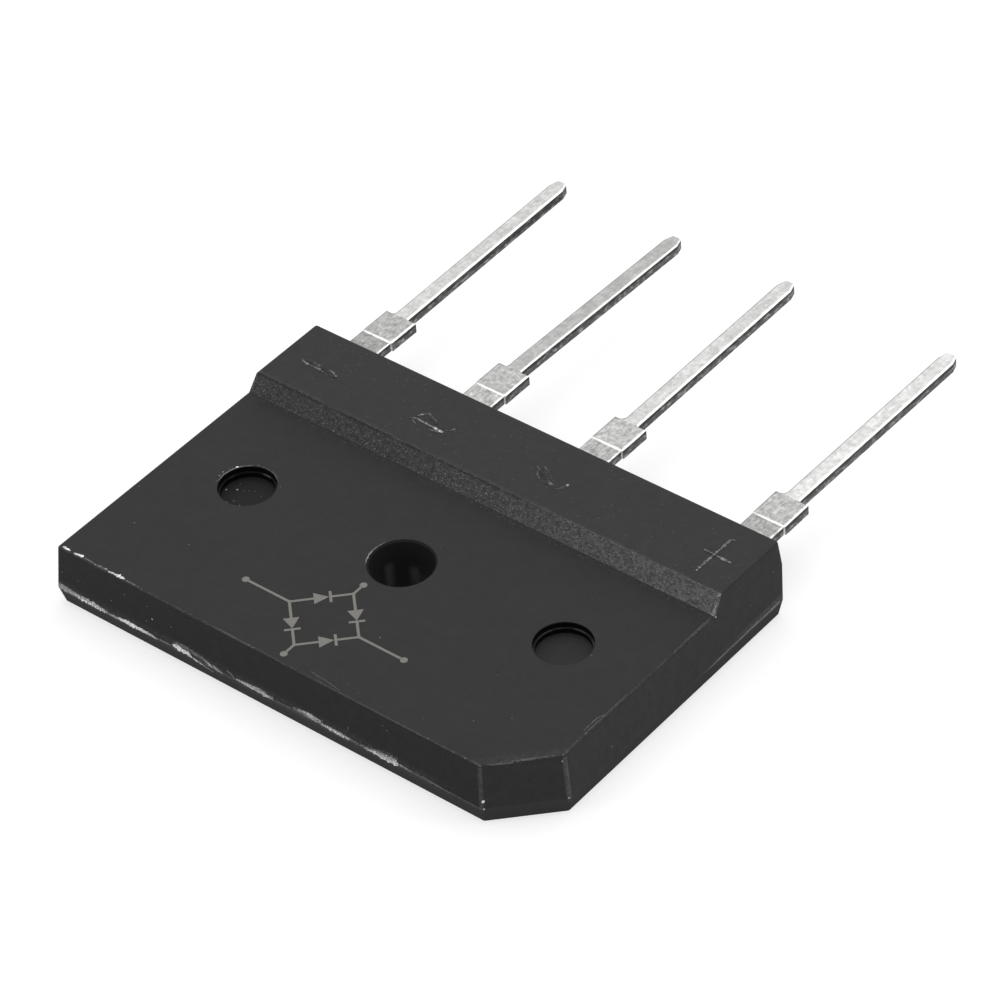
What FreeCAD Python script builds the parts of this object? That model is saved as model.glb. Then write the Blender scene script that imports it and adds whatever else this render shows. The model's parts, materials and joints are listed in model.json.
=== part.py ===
import FreeCAD, Part
import os
import Sketcher

# A flat bridge rectifier with four leads in one row: a moulded epoxy body with a screw hole,
# and inside it a soldered stack of lead frames, diode dies and jumper clips.
# Frame: the origin is on the screw hole's axis at the back face, +X runs towards the plus lead,
# +Y runs out along the leads, and +Z points out of the marked front face.

doc = FreeCAD.newDocument("BridgeRectifier")

# Driving dimensions, in millimetres and degrees

SIZES = [
    ("body_width", 30.0, "body across the lead row, at the parting line"),
    ("front_reach", 9.0, "hole axis to the edge away from the leads"),
    ("lead_side_reach", 11.0, "hole axis to the edge that the leads leave"),
    ("plate_thickness", 3.53, "body round the hole"),
    ("band_thickness", 4.42, "raised band along the leads"),
    ("band_width", 4.74, "lead-side edge to the crest of the band's ramp"),
    ("ramp_run", 0.63, "length of the ramp from band to plate"),
    ("parting_height", 0.95, "parting line above the back face, on all walls but the lead side"),
    ("upper_draft", 5.0, "draft of the walls above the parting line"),
    ("lower_draft", 12.0, "draft of the walls below the parting line"),
    ("lead_side_draft", 7.5, "draft of the lead-side wall below the leads"),
    ("corner_chamfer", 2.94, "polarity chamfer at the plus corner"),
    ("corner_radius", 0.14, "standing corners of the body"),
    ("edge_radius", 0.1, "edges round the front face"),
    ("hole_diameter", 3.3, "screw hole"),
    ("hole_rim", 0.1, "broken edge at the hole's mouth"),
    ("recess_offset", 10.0, "hole axis to each round recess"),
    ("recess_diameter", 3.02, "round recess at the surface"),
    ("recess_depth", 0.33, "depth of the recess's ledge"),
    ("pin_mark_diameter", 2.8, "mould pin mark inside the recess"),
    ("pin_mark_depth", 0.6, "surface to the floor of the pin mark"),
    ("lead_margin", 2.5, "end of the body to the outer lead's centre line"),
    ("lead_pitch", 7.5, "minus lead to first AC lead, and AC lead to AC lead"),
    ("lead_height", 2.93, "middle of the leads above the back face, where the lead side parts"),
    ("strip_thickness", 0.5, "bare lead strip"),
    ("coat", 0.05, "solder coat on the outer part of each lead"),
    ("coat_start", 1.96, "body to the edge of the coat"),
    ("coat_ramp", 0.06, "length over which the coat builds up"),
    ("lead_length", 17.5, "body to the tip of a lead"),
    ("shoulder_length", 3.92, "body to the end of the wide shoulder"),
    ("shoulder_width", 1.87, "bare width of the shoulder"),
    ("plus_side_neck", 0.08, "inner corner of shoulder and lead on the plus side of each lead"),
    ("minus_neck", 0.2, "inner corner on the other side of the minus lead"),
    ("ac_1_neck", 0.1, "inner corner on the other side of the first AC lead"),
    ("ac_2_neck", 0.32, "inner corner on the other side of the second AC lead"),
    ("plus_neck", 0.32, "inner corner on the other side of the plus lead"),
    ("bend_start", 5.0, "body to where a lead's slight bend starts"),
    ("lead_width", 0.82, "bare width of the lead past the shoulder"),
    ("lead_edge", 0.12, "rounded front edges of the coated lead, on the punch side"),
    ("nose_length", 0.6, "tapered nose of the lead"),
    ("nose_width", 0.56, "end of the nose"),
    ("nose_radius", 0.2, "corners of the nose"),
    ("minus_tip_lift", 0.13, "how far the minus lead's tip is bent up"),
    ("ac_1_tip_lift", -0.23, "how far the first AC lead's tip is bent up"),
    ("ac_2_tip_lift", 0.06, "how far the second AC lead's tip is bent up"),
    ("plus_tip_lift", -0.08, "how far the plus lead's tip is bent up"),
    ("minus_tip_shift", -0.05, "how far the minus lead's tip is bent towards the plus end"),
    ("ac_1_tip_shift", 0.11, "how far the first AC lead's tip is bent towards the plus end"),
    ("ac_2_tip_shift", -0.03, "how far the second AC lead's tip is bent towards the plus end"),
    ("plus_tip_shift", 0.1, "how far the plus lead's tip is bent towards the plus end"),
    ("pad_floor", 0.9, "epoxy between the back face and the lead frames"),
    ("widening", 1.6, "lead-side edge to where a lead widens into its pad"),
    ("joggle_start", 2.1, "lead-side edge to the bend down to the pads"),
    ("joggle_angle", 45.0, "slope of the bend down to the pads"),
    ("pad_gap", 1.5, "gap between neighbouring pads"),
    ("ac_pad_width", 5.0, "width of each AC pad"),
    ("hole_wall", 1.55, "epoxy between the hole and the pads"),
    ("front_wall", 1.5, "epoxy between the front edge and the plus pad"),
    ("front_strip", 3.9, "plus pad's arm along the front edge"),
    ("strip_gap", 1.8, "plus pad's arm to the AC pads"),
    ("pad_corner", 0.25, "stamped corners of the pads"),
    ("die_size", 2.4, "square diode die"),
    ("die_thickness", 0.28, "diode die"),
    ("mesa_share", 0.5, "share of the die's thickness that is bevelled"),
    ("mesa_draft", 50.0, "bevel of the die's upper edge"),
    ("back_row", 4.2, "hole axis to the dies on the AC pads"),
    ("minus_pad_reach", 2.4, "clip's middle to the end of the minus pad"),
    ("solder_thickness", 0.05, "solder layers"),
    ("clip_width", 1.6, "jumper clips"),
    ("clip_thickness", 0.25, "jumper clips"),
    ("clip_end", 1.0, "clip past the middle of its last die"),
    ("clip_bend", 1.75, "middle of the die to the clip's bend"),
    ("dimple_diameter", 1.5, "round foot pressed into the clip over a die"),
    ("dimple_height", 0.12, "depth of that foot"),
    ("foot_length", 1.6, "flat end of a clip on a pad"),
    ("foot_inset", 0.4, "edge of the pad to the clip's flat end"),
]

sheet = doc.addObject("Spreadsheet::Sheet", "Sizes")
for row, (alias, amount, meaning) in enumerate(SIZES, start=1):
    sheet.set("A%d" % row, meaning)
    sheet.set("B%d" % row, str(amount))
    sheet.setAlias("B%d" % row, alias)
doc.recompute()

# Places closer than this, in millimetres, count as the same in a test on an edge or a face
SAME = 1e-3
# Share of a pad's shortest side that each of its two rounded corners may take
CORNER_SHARE = 0.45

# Derived places, written once as expressions on the sheet

HALF_WIDTH = "Sizes.body_width / 2"
LEAD_SIDE = "Sizes.lead_side_reach"
TIP = "(Sizes.lead_side_reach + Sizes.lead_length)"
SHOULDER_END = "(Sizes.lead_side_reach + Sizes.shoulder_length)"
BEND_START = "(Sizes.lead_side_reach + Sizes.bend_start)"
COAT_EDGE = "(Sizes.lead_side_reach + Sizes.coat_start)"
WIDE_START = "(Sizes.lead_side_reach - Sizes.widening)"
OUTER_LEAD = "(Sizes.body_width / 2 - Sizes.lead_margin)"
HALF_STRIP = "Sizes.strip_thickness / 2"
PAD_TOP = "(Sizes.pad_floor + Sizes.strip_thickness)"
PAD_INNER = "(Sizes.hole_diameter / 2 + Sizes.hole_wall)"
PAD_OUTER = "(%s + Sizes.ac_pad_width)" % PAD_INNER
SIDE_PAD_INNER = "(%s + Sizes.pad_gap)" % PAD_OUTER
DIE_X = "(%s + Sizes.ac_pad_width / 2)" % PAD_INNER
ARM_FRONT = "(Sizes.front_wall - Sizes.front_reach)"
ARM_BACK = "(%s + Sizes.front_strip)" % ARM_FRONT
AC_PAD_FRONT = "(%s + Sizes.strip_gap)" % ARM_BACK
FRONT_ROW = "(%s + Sizes.front_strip / 2)" % ARM_FRONT
DIE_FLOOR = "(%s + Sizes.solder_thickness)" % PAD_TOP
DIE_TOP = "(%s + Sizes.die_thickness)" % DIE_FLOOR
DIMPLE_FLOOR = "(%s + Sizes.solder_thickness)" % DIE_TOP
CLIP_FLOOR = "(%s + Sizes.dimple_height)" % DIMPLE_FLOOR
FOOT_FLOOR = DIE_FLOOR
AC_FOOT = "(%s + Sizes.foot_inset + Sizes.foot_length / 2)" % AC_PAD_FRONT
MINUS_FOOT = "(%s + Sizes.foot_inset + Sizes.foot_length / 2)" % SIDE_PAD_INNER


def value(expression):
    """The number that an expression on the sheet gives."""
    result = sheet.evalExpression(str(expression))
    return float(getattr(result, "Value", result))


# Ways of drawing that every piece uses

def new_body(label):
    body = doc.addObject("PartDesign::Body", label)
    body.Label = label
    return body


def new_sketch(body, name, role, height=None):
    """A sketch on one of the body's own origin planes, lifted by height."""
    sketch = body.newObject("Sketcher::SketchObject", name)
    plane = next(item for item in body.Origin.OriginFeatures if item.Role == role)
    sketch.AttachmentSupport = [(plane, "")]
    sketch.MapMode = "FlatFace"
    if height is not None:
        sketch.setExpression("AttachmentOffset.Base.z", height)
    return sketch


def place_point(sketch, geometry, position, label, x_place, y_place):
    """Tie one point of the sketch to the origin by two named distances."""
    for kind, axis, place in (("DistanceX", "x", x_place), ("DistanceY", "y", y_place)):
        name = "%s_%s" % (label, axis)
        constraint = Sketcher.Constraint(kind, -1, 1, geometry, position, value(place))
        index = sketch.addConstraint(constraint)
        sketch.renameConstraint(index, name)
        sketch.setExpression("Constraints." + name, str(place))


def draw_outline(sketch, corners):
    """A closed outline of straight lines through corners given as expressions."""
    points = [FreeCAD.Vector(value(x), value(y), 0) for x, y in corners]
    count = len(points)
    first = sketch.GeometryCount
    lines = [Part.LineSegment(points[i], points[(i + 1) % count]) for i in range(count)]
    sketch.addGeometry(lines, False)
    for i in range(count):
        following = first + (i + 1) % count
        sketch.addConstraint(Sketcher.Constraint("Coincident", first + i, 2, following, 1))
    for i, (x_place, y_place) in enumerate(corners):
        place_point(sketch, first + i, 1, "corner%d" % (first + i), x_place, y_place)


def draw_circle(sketch, x_place, y_place, diameter):
    centre = FreeCAD.Vector(value(x_place), value(y_place), 0)
    normal = FreeCAD.Vector(0, 0, 1)
    circle = sketch.addGeometry(Part.Circle(centre, normal, value(diameter) / 2), False)
    name = "circle%d" % circle
    place_point(sketch, circle, 3, name, x_place, y_place)
    index = sketch.addConstraint(Sketcher.Constraint("Diameter", circle, value(diameter)))
    sketch.renameConstraint(index, name + "_size")
    sketch.setExpression("Constraints.%s_size" % name, str(diameter))


def rectangle(x_low, x_high, y_low, y_high):
    return [(x_low, y_low), (x_high, y_low), (x_high, y_high), (x_low, y_high)]


def add_pad(body, name, sketch, length, symmetric=False, downwards=False, taper=None):
    pad = body.newObject("PartDesign::Pad", name)
    pad.Profile = sketch
    pad.setExpression("Length", length)
    if symmetric:
        pad.SideType = "Symmetric"
    pad.Reversed = downwards
    if taper is not None:
        pad.setExpression("TaperAngle", taper)
    doc.recompute()
    return pad


def add_pocket(body, name, sketch, length=None, symmetric=False):
    """A pocket down into the solid, or through all of it where no length is given."""
    volume_before = body.Shape.Volume
    pocket = body.newObject("PartDesign::Pocket", name)
    pocket.Profile = sketch
    if symmetric:
        pocket.SideType = "Symmetric"
    if length is None:
        pocket.Type = "ThroughAll"
    else:
        pocket.setExpression("Length", length)
    doc.recompute()
    if body.Shape.Volume >= volume_before:
        raise RuntimeError(name + " cuts nothing")
    return pocket


def add_draft(body, name, feature, neutral, angle, above):
    """Lean the side walls on one side of the neutral plane inwards, but not the lead side."""
    level = value("Sizes.parting_height")
    walls = []
    for i, face in enumerate(feature.Shape.Faces):
        normal = face.normalAt(0, 0)
        leans = abs(normal.z) < 0.5 and normal.y < 0.5
        if leans and (face.CenterOfMass.z > level) == above:
            walls.append("Face%d" % (i + 1))
    draft = body.newObject("PartDesign::Draft", name)
    draft.Base = (feature, walls)
    draft.NeutralPlane = (neutral, [""])
    draft.Reversed = not above
    draft.setExpression("Angle", angle)
    doc.recompute()
    return draft


def add_fillet(body, name, feature, edges, radius):
    fillet = body.newObject("PartDesign::Fillet", name)
    fillet.Base = (feature, edges)
    fillet.setExpression("Radius", radius)
    doc.recompute()
    return fillet


def named_edges(shape, wanted):
    return ["Edge%d" % (i + 1) for i, edge in enumerate(shape.Edges) if wanted(edge)]


def is_standing(edge):
    """True for an edge that runs up the piece, drafted or not."""
    start = edge.Vertexes[0].Point
    end = edge.Vertexes[-1].Point
    return abs(end.z - start.z) > 0.9 * (end - start).Length > 0


# The moulded epoxy body, before it is filled

def lead_side_draft(body):
    """Lean the lead side both ways from the middle of the leads, where the mould parts there."""
    top_rise = "(Sizes.band_thickness - Sizes.lead_height)"
    top_y = "%s - %s * tan(Sizes.upper_draft)" % (LEAD_SIDE, top_rise)
    bottom_y = "%s - Sizes.lead_height * tan(Sizes.lead_side_draft)" % LEAD_SIDE
    clear_y = "%s + Sizes.band_thickness" % LEAD_SIDE
    sketch = new_sketch(body, "LeadSideWedges", "YZ_Plane")
    draw_outline(sketch, [
        (LEAD_SIDE, "Sizes.lead_height"),
        (bottom_y, "0"),
        (clear_y, "0"),
        (clear_y, "Sizes.band_thickness"),
        (top_y, "Sizes.band_thickness"),
    ])
    return add_pocket(body, "LeadSideDraft", sketch, "Sizes.body_width * 2", symmetric=True)


def moulded_body():
    body = new_body("moulded_body")
    outline = new_sketch(body, "PartingOutline", "XY_Plane", "Sizes.parting_height")
    chamfer_x = "%s - Sizes.corner_chamfer" % HALF_WIDTH
    chamfer_y = "Sizes.corner_chamfer - Sizes.front_reach"
    draw_outline(outline, [
        ("-" + HALF_WIDTH, "-Sizes.front_reach"),
        (chamfer_x, "-Sizes.front_reach"),
        (HALF_WIDTH, chamfer_y),
        (HALF_WIDTH, LEAD_SIDE),
        ("-" + HALF_WIDTH, LEAD_SIDE),
    ])
    parting = body.newObject("PartDesign::Plane", "PartingPlane")
    parting.AttachmentSupport = outline.AttachmentSupport
    parting.MapMode = "FlatFace"
    parting.setExpression("AttachmentOffset.Base.z", "Sizes.parting_height")
    upper_height = "Sizes.band_thickness - Sizes.parting_height"
    upper = add_pad(body, "UpperHalf", outline, upper_height)
    add_draft(body, "UpperDraft", upper, parting, "Sizes.upper_draft", above=True)
    lower = add_pad(body, "LowerHalf", outline, "Sizes.parting_height", downwards=True)
    add_draft(body, "LowerDraft", lower, parting, "Sizes.lower_draft", above=False)
    leaning = lead_side_draft(body)
    corners = named_edges(leaning.Shape, is_standing)
    add_fillet(body, "StandingCorners", leaning, corners, "Sizes.corner_radius")

    step = new_sketch(body, "StepProfile", "YZ_Plane")
    crest = "Sizes.lead_side_reach - Sizes.band_width"
    foot = crest + " - Sizes.ramp_run"
    above = "Sizes.band_thickness + Sizes.plate_thickness"
    draw_outline(step, [
        ("-Sizes.front_reach * 2", "Sizes.plate_thickness"),
        (foot, "Sizes.plate_thickness"),
        (crest, "Sizes.band_thickness"),
        (crest, above),
        ("-Sizes.front_reach * 2", above),
    ])
    plate = add_pocket(body, "PlateStep", step, "Sizes.body_width * 2", symmetric=True)

    levels = (value("Sizes.plate_thickness"), value("Sizes.band_thickness"))
    crest_y = value(crest)
    foot_y = value(foot)

    def is_front_rim(edge):
        ends = [vertex.Point for vertex in edge.Vertexes]
        level = any(all(abs(end.z - z) < SAME for end in ends) for z in levels)
        across = all(foot_y - SAME < end.y < crest_y + SAME for end in ends)
        return level and not across

    rim = named_edges(plate.Shape, is_front_rim)
    rounded = add_fillet(body, "FrontEdges", plate, rim, "Sizes.edge_radius")

    hole = new_sketch(body, "HoleCircle", "XY_Plane", "Sizes.plate_thickness")
    draw_circle(hole, "0", "0", "Sizes.hole_diameter")
    bored = add_pocket(body, "ScrewHole", hole)

    mouth_z = value("Sizes.plate_thickness")
    mouth_radius = value("Sizes.hole_diameter") / 2

    def is_mouth(edge):
        centre = edge.BoundBox.Center
        size = edge.BoundBox.XLength
        return abs(centre.z - mouth_z) < SAME and abs(size - 2 * mouth_radius) < SAME

    chamfer = body.newObject("PartDesign::Chamfer", "HoleRim")
    chamfer.Base = (bored, named_edges(bored.Shape, is_mouth))
    chamfer.setExpression("Size", "Sizes.hole_rim")
    doc.recompute()

    for name, diameter, depth in (
        ("Recess", "Sizes.recess_diameter", "Sizes.recess_depth"),
        ("PinMark", "Sizes.pin_mark_diameter", "Sizes.pin_mark_depth"),
    ):
        circles = new_sketch(body, name + "Circles", "XY_Plane", "Sizes.plate_thickness")
        draw_circle(circles, "-Sizes.recess_offset", "0", diameter)
        draw_circle(circles, "Sizes.recess_offset", "0", diameter)
        add_pocket(body, name, circles, depth)
    return body


# The four leads: each is stamped to a plan outline and formed to a side profile

def lead_plan(label, centre, pad_corners, outer_side, narrowest_step):
    """The lead seen from the front, tip first, with its pad's corners in order.

    outer_side is -1 or 1 where the pad's edge runs on from that side of the lead, and
    narrowest_step is the shortest side of the pad, which two rounded corners share.
    """
    name = label.removeprefix("lead_")
    tip_centre = "%s + Sizes.%s_tip_shift" % (centre, name)
    half_nose = "Sizes.nose_width / 2"
    half_lead = "(Sizes.lead_width / 2 + Sizes.coat)"
    half_shoulder = "(Sizes.shoulder_width / 2 + Sizes.coat)"
    half_shank = "Sizes.shoulder_width / 2"
    nose_start = "%s - Sizes.nose_length" % TIP
    coat_full = "%s + Sizes.coat_ramp" % COAT_EDGE
    side = [
        (tip_centre, half_nose, TIP),
        (tip_centre, half_lead, nose_start),
        (centre, half_lead, SHOULDER_END),
        (centre, half_shoulder, SHOULDER_END),
        (centre, half_shoulder, coat_full),
        (centre, half_shank, COAT_EDGE),
    ]
    right = [("%s + %s" % (middle, reach), y) for middle, reach, y in side]
    left = [("%s - %s" % (middle, reach), y) for middle, reach, y in reversed(side)]
    if outer_side != 1:
        right.append(("%s + %s" % (centre, half_shank), WIDE_START))
    if outer_side != -1:
        left.insert(0, ("%s - %s" % (centre, half_shank), WIDE_START))
    body = new_body(label + "_plan")
    sketch = new_sketch(body, label + "_outline", "XY_Plane")
    draw_outline(sketch, right + pad_corners + left)
    stamped = add_pad(body, label + "_blank", sketch, "Sizes.band_thickness")

    tip_y = value(TIP)
    shoulder_y = value(SHOULDER_END)
    body_edge_y = value(LEAD_SIDE)
    minus_side = value("%s - %s" % (centre, half_lead))
    plus_side = value("%s + %s" % (centre, half_lead))

    def standing_at(y_low, y_high, x_place=None):
        def wanted(edge):
            point = edge.Vertexes[0].Point
            near = x_place is None or abs(point.x - x_place) < SAME
            return is_standing(edge) and y_low < point.y < y_high and near
        return wanted

    nose = named_edges(stamped.Shape, standing_at(tip_y - SAME, tip_y + SAME))
    stamped = add_fillet(body, label + "_nose", stamped, nose, "Sizes.nose_radius")
    necks = [
        ("minus_side", minus_side, "Sizes.%s_neck" % name),
        ("plus_side", plus_side, "Sizes.plus_side_neck"),
    ]
    for side_name, x_place, radius in necks:
        neck_test = standing_at(shoulder_y - SAME, shoulder_y + SAME, x_place)
        neck = named_edges(stamped.Shape, neck_test)
        stamped = add_fillet(body, "%s_%s_neck" % (label, side_name), stamped, neck, radius)
    pad = named_edges(stamped.Shape, standing_at(-body_edge_y * 2, body_edge_y))
    pad_radius = "min(Sizes.pad_corner; abs(%s) * %g)" % (narrowest_step, CORNER_SHARE)
    add_fillet(body, label + "_corners", stamped, pad, pad_radius)
    return body


def lead_profile(label):
    """The lead seen from the side: tip, coated part, bare shank, joggle and pad."""
    tip_lift = "Sizes.%s_tip_lift" % label.removeprefix("lead_")
    half_coated = "(%s + Sizes.coat)" % HALF_STRIP
    top = "(Sizes.lead_height + %s)"
    bottom = "(Sizes.lead_height - %s)"
    coat_full = "%s + Sizes.coat_ramp" % COAT_EDGE
    joggle = "(Sizes.lead_side_reach - Sizes.joggle_start)"
    fall = "(Sizes.lead_height + %s - %s)" % (HALF_STRIP, PAD_TOP)
    run = "(%s / tan(Sizes.joggle_angle))" % fall
    inner_joggle = "(%s + Sizes.strip_thickness * tan(Sizes.joggle_angle / 2))" % joggle
    front = "-Sizes.front_reach"
    body = new_body(label + "_profile")
    sketch = new_sketch(body, label + "_side", "YZ_Plane")
    draw_outline(sketch, [
        (TIP, "%s + %s" % (top % half_coated, tip_lift)),
        (BEND_START, top % half_coated),
        (coat_full, top % half_coated),
        (COAT_EDGE, top % HALF_STRIP),
        (joggle, top % HALF_STRIP),
        ("%s - %s" % (joggle, run), PAD_TOP),
        (front, PAD_TOP),
        (front, "Sizes.pad_floor"),
        ("%s - %s" % (inner_joggle, run), "Sizes.pad_floor"),
        (inner_joggle, bottom % HALF_STRIP),
        (COAT_EDGE, bottom % HALF_STRIP),
        (coat_full, bottom % half_coated),
        (BEND_START, bottom % half_coated),
        (TIP, "%s + %s" % (bottom % half_coated, tip_lift)),
    ])
    add_pad(body, label + "_strip", sketch, "Sizes.body_width", symmetric=True)
    return body


def front_edges(shape):
    """Numbers of the edges round the coated part's front face, which the punch leaves rounded."""
    coat_full = value(COAT_EDGE) + value("Sizes.coat_ramp")
    fronts = []
    for face in shape.Faces:
        if face.normalAt(0, 0).z > 0.9 and face.BoundBox.YMin > coat_full - SAME:
            fronts.append(face)
    numbers = []
    for i, edge in enumerate(shape.Edges):
        sides = [face for face in fronts if any(edge.isSame(own) for own in face.Edges)]
        if len(sides) == 1 and edge.BoundBox.YMax > coat_full + SAME:
            numbers.append(i + 1)
    return numbers


def build_lead(label, centre, pad_corners, outer_side, narrowest_step):
    """What the plan and the profile share, with the coated part's front edges rounded."""
    formed = doc.addObject("Part::Common", label + "_formed")
    formed.Base = lead_plan(label, centre, pad_corners, outer_side, narrowest_step)
    formed.Tool = lead_profile(label)
    formed.Refine = True
    doc.recompute()
    radius = value("Sizes.lead_edge")
    lead = doc.addObject("Part::Fillet", label)
    lead.Label = label
    lead.Base = formed
    lead.Edges = [(number, radius, radius) for number in front_edges(formed.Shape)]
    doc.recompute()
    return lead


def build_leads():
    outer_edge = "(%s + Sizes.shoulder_width / 2)" % OUTER_LEAD
    first_ac = "(Sizes.lead_pitch - %s)" % OUTER_LEAD
    second_ac = "(2 * Sizes.lead_pitch - %s)" % OUTER_LEAD
    minus_end = "Sizes.back_row - Sizes.minus_pad_reach"
    minus_pad = [
        ("-" + SIDE_PAD_INNER, WIDE_START),
        ("-" + SIDE_PAD_INNER, minus_end),
        ("-" + outer_edge, minus_end),
    ]
    first_pad = [
        ("-" + PAD_INNER, WIDE_START),
        ("-" + PAD_INNER, AC_PAD_FRONT),
        ("-" + PAD_OUTER, AC_PAD_FRONT),
        ("-" + PAD_OUTER, WIDE_START),
    ]
    second_pad = [
        (PAD_OUTER, WIDE_START),
        (PAD_OUTER, AC_PAD_FRONT),
        (PAD_INNER, AC_PAD_FRONT),
        (PAD_INNER, PAD_INNER),
        ("%s - Sizes.shoulder_width / 2" % second_ac, PAD_INNER),
    ]
    chamfer_line = "(%s - Sizes.corner_chamfer + Sizes.front_reach - Sizes.front_wall * sqrt(2))"
    chamfer_line = chamfer_line % HALF_WIDTH
    plus_pad = [
        (outer_edge, "%s - %s" % (outer_edge, chamfer_line)),
        ("%s + %s" % (chamfer_line, ARM_FRONT), ARM_FRONT),
        ("-" + PAD_OUTER, ARM_FRONT),
        ("-" + PAD_OUTER, ARM_BACK),
        (SIDE_PAD_INNER, ARM_BACK),
        (SIDE_PAD_INNER, WIDE_START),
    ]
    half_shank = "Sizes.shoulder_width / 2"
    outer_step = "%s - %s - %s" % (OUTER_LEAD, half_shank, SIDE_PAD_INNER)
    first_step = "-%s - %s - %s" % (first_ac, half_shank, PAD_INNER)
    first_back_step = "%s + %s - %s" % (PAD_OUTER, first_ac, half_shank)
    second_step = "%s + %s - %s" % (PAD_INNER, half_shank, second_ac)
    first_narrowest = "min(abs(%s); abs(%s))" % (first_step, first_back_step)
    return [
        build_lead("lead_minus", "-" + OUTER_LEAD, minus_pad, -1, outer_step),
        build_lead("lead_ac_1", first_ac, first_pad, 0, first_narrowest),
        build_lead("lead_ac_2", second_ac, second_pad, -1, second_step),
        build_lead("lead_plus", OUTER_LEAD, plus_pad, 1, outer_step),
    ]


# The diode dies and their solder

def square_round(x_place, y_place, size):
    return rectangle(
        "%s - %s / 2" % (x_place, size),
        "%s + %s / 2" % (x_place, size),
        "%s - %s / 2" % (y_place, size),
        "%s + %s / 2" % (y_place, size),
    )


def build_die(label, x_place, y_place):
    """A square die whose upper edge is bevelled down to its glass-covered junction."""
    die = new_body(label)
    mesa_height = "Sizes.die_thickness * Sizes.mesa_share"
    base_height = "Sizes.die_thickness * (1 - Sizes.mesa_share)"
    base = new_sketch(die, label + "_square", "XY_Plane", DIE_FLOOR)
    draw_outline(base, square_round(x_place, y_place, "Sizes.die_size"))
    add_pad(die, label + "_base", base, base_height)
    shelf = new_sketch(die, label + "_shelf", "XY_Plane", "%s + %s" % (DIE_FLOOR, base_height))
    draw_outline(shelf, square_round(x_place, y_place, "Sizes.die_size"))
    add_pad(die, label + "_mesa", shelf, mesa_height, taper="-Sizes.mesa_draft")
    return die


def build_layer(label, corners, floor):
    """A flat layer of solder."""
    layer = new_body(label)
    sketch = new_sketch(layer, label + "_outline", "XY_Plane", floor)
    draw_outline(sketch, corners)
    add_pad(layer, label + "_sheet", sketch, "Sizes.solder_thickness")
    return layer


def build_dot(label, x_place, y_place):
    """The round solder layer between a die and the clip's pressed foot."""
    dot = new_body(label)
    sketch = new_sketch(dot, label + "_circle", "XY_Plane", DIE_TOP)
    draw_circle(sketch, x_place, y_place, "Sizes.dimple_diameter")
    add_pad(dot, label + "_disc", sketch, "Sizes.solder_thickness")
    return dot


def build_dies():
    """Two dies stand on the plus pad's arm, and one on each AC pad, all cathode down."""
    pieces = []
    places = [
        ("plus_1", "-" + DIE_X, FRONT_ROW),
        ("plus_2", DIE_X, FRONT_ROW),
        ("minus_1", "-" + DIE_X, "Sizes.back_row"),
        ("minus_2", DIE_X, "Sizes.back_row"),
    ]
    for name, x_place, y_place in places:
        corners = square_round(x_place, y_place, "Sizes.die_size")
        pieces.append(build_layer("cathode_solder_" + name, corners, PAD_TOP))
        pieces.append(build_die("diode_die_" + name, x_place, y_place))
        pieces.append(build_dot("anode_solder_" + name, x_place, y_place))
    return pieces


# The jumper clips and the solder under their feet

def add_dimples(clip, label, places):
    sketch = new_sketch(clip, label + "_dimples", "XY_Plane", DIMPLE_FLOOR)
    for x_place, y_place in places:
        draw_circle(sketch, x_place, y_place, "Sizes.dimple_diameter")
    add_pad(clip, label + "_feet", sketch, "Sizes.dimple_height")


def clip_profile(die_end, bend, foot_start, foot_end):
    """A clip's side profile along its run, from its free end down to its flat foot."""
    top = CLIP_FLOOR + " + Sizes.clip_thickness"
    foot_top = FOOT_FLOOR + " + Sizes.clip_thickness"
    return [
        (die_end, CLIP_FLOOR),
        (bend, CLIP_FLOOR),
        (foot_start, FOOT_FLOOR),
        (foot_end, FOOT_FLOOR),
        (foot_end, foot_top),
        (foot_start, foot_top),
        (bend, top),
        (die_end, top),
    ]


def build_ac_clip(label, x_place):
    """Joins the top of a die on the plus pad's arm to the AC pad behind it."""
    clip = new_body(label)
    side = new_sketch(clip, label + "_side", "YZ_Plane", x_place)
    draw_outline(side, clip_profile(
        "%s - Sizes.clip_end" % FRONT_ROW,
        "%s + Sizes.clip_bend" % FRONT_ROW,
        "%s - Sizes.foot_length / 2" % AC_FOOT,
        "%s + Sizes.foot_length / 2" % AC_FOOT,
    ))
    add_pad(clip, label + "_strip", side, "Sizes.clip_width", symmetric=True)
    add_dimples(clip, label, [(x_place, FRONT_ROW)])
    return clip


def build_minus_clip(label):
    """Joins the tops of both dies on the AC pads to the minus pad."""
    clip = new_body(label)
    side = new_sketch(clip, label + "_side", "XZ_Plane", "-Sizes.back_row")
    draw_outline(side, clip_profile(
        "%s + Sizes.clip_end" % DIE_X,
        "-%s - Sizes.clip_bend" % DIE_X,
        "Sizes.foot_length / 2 - %s" % MINUS_FOOT,
        "-Sizes.foot_length / 2 - %s" % MINUS_FOOT,
    ))
    add_pad(clip, label + "_strip", side, "Sizes.clip_width", symmetric=True)
    add_dimples(clip, label, [("-" + DIE_X, "Sizes.back_row"), (DIE_X, "Sizes.back_row")])
    return clip


def foot_layer(label, x_middle, y_middle, x_size, y_size):
    corners = rectangle(
        "%s - %s / 2" % (x_middle, x_size),
        "%s + %s / 2" % (x_middle, x_size),
        "%s - %s / 2" % (y_middle, y_size),
        "%s + %s / 2" % (y_middle, y_size),
    )
    return build_layer(label, corners, PAD_TOP)


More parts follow.
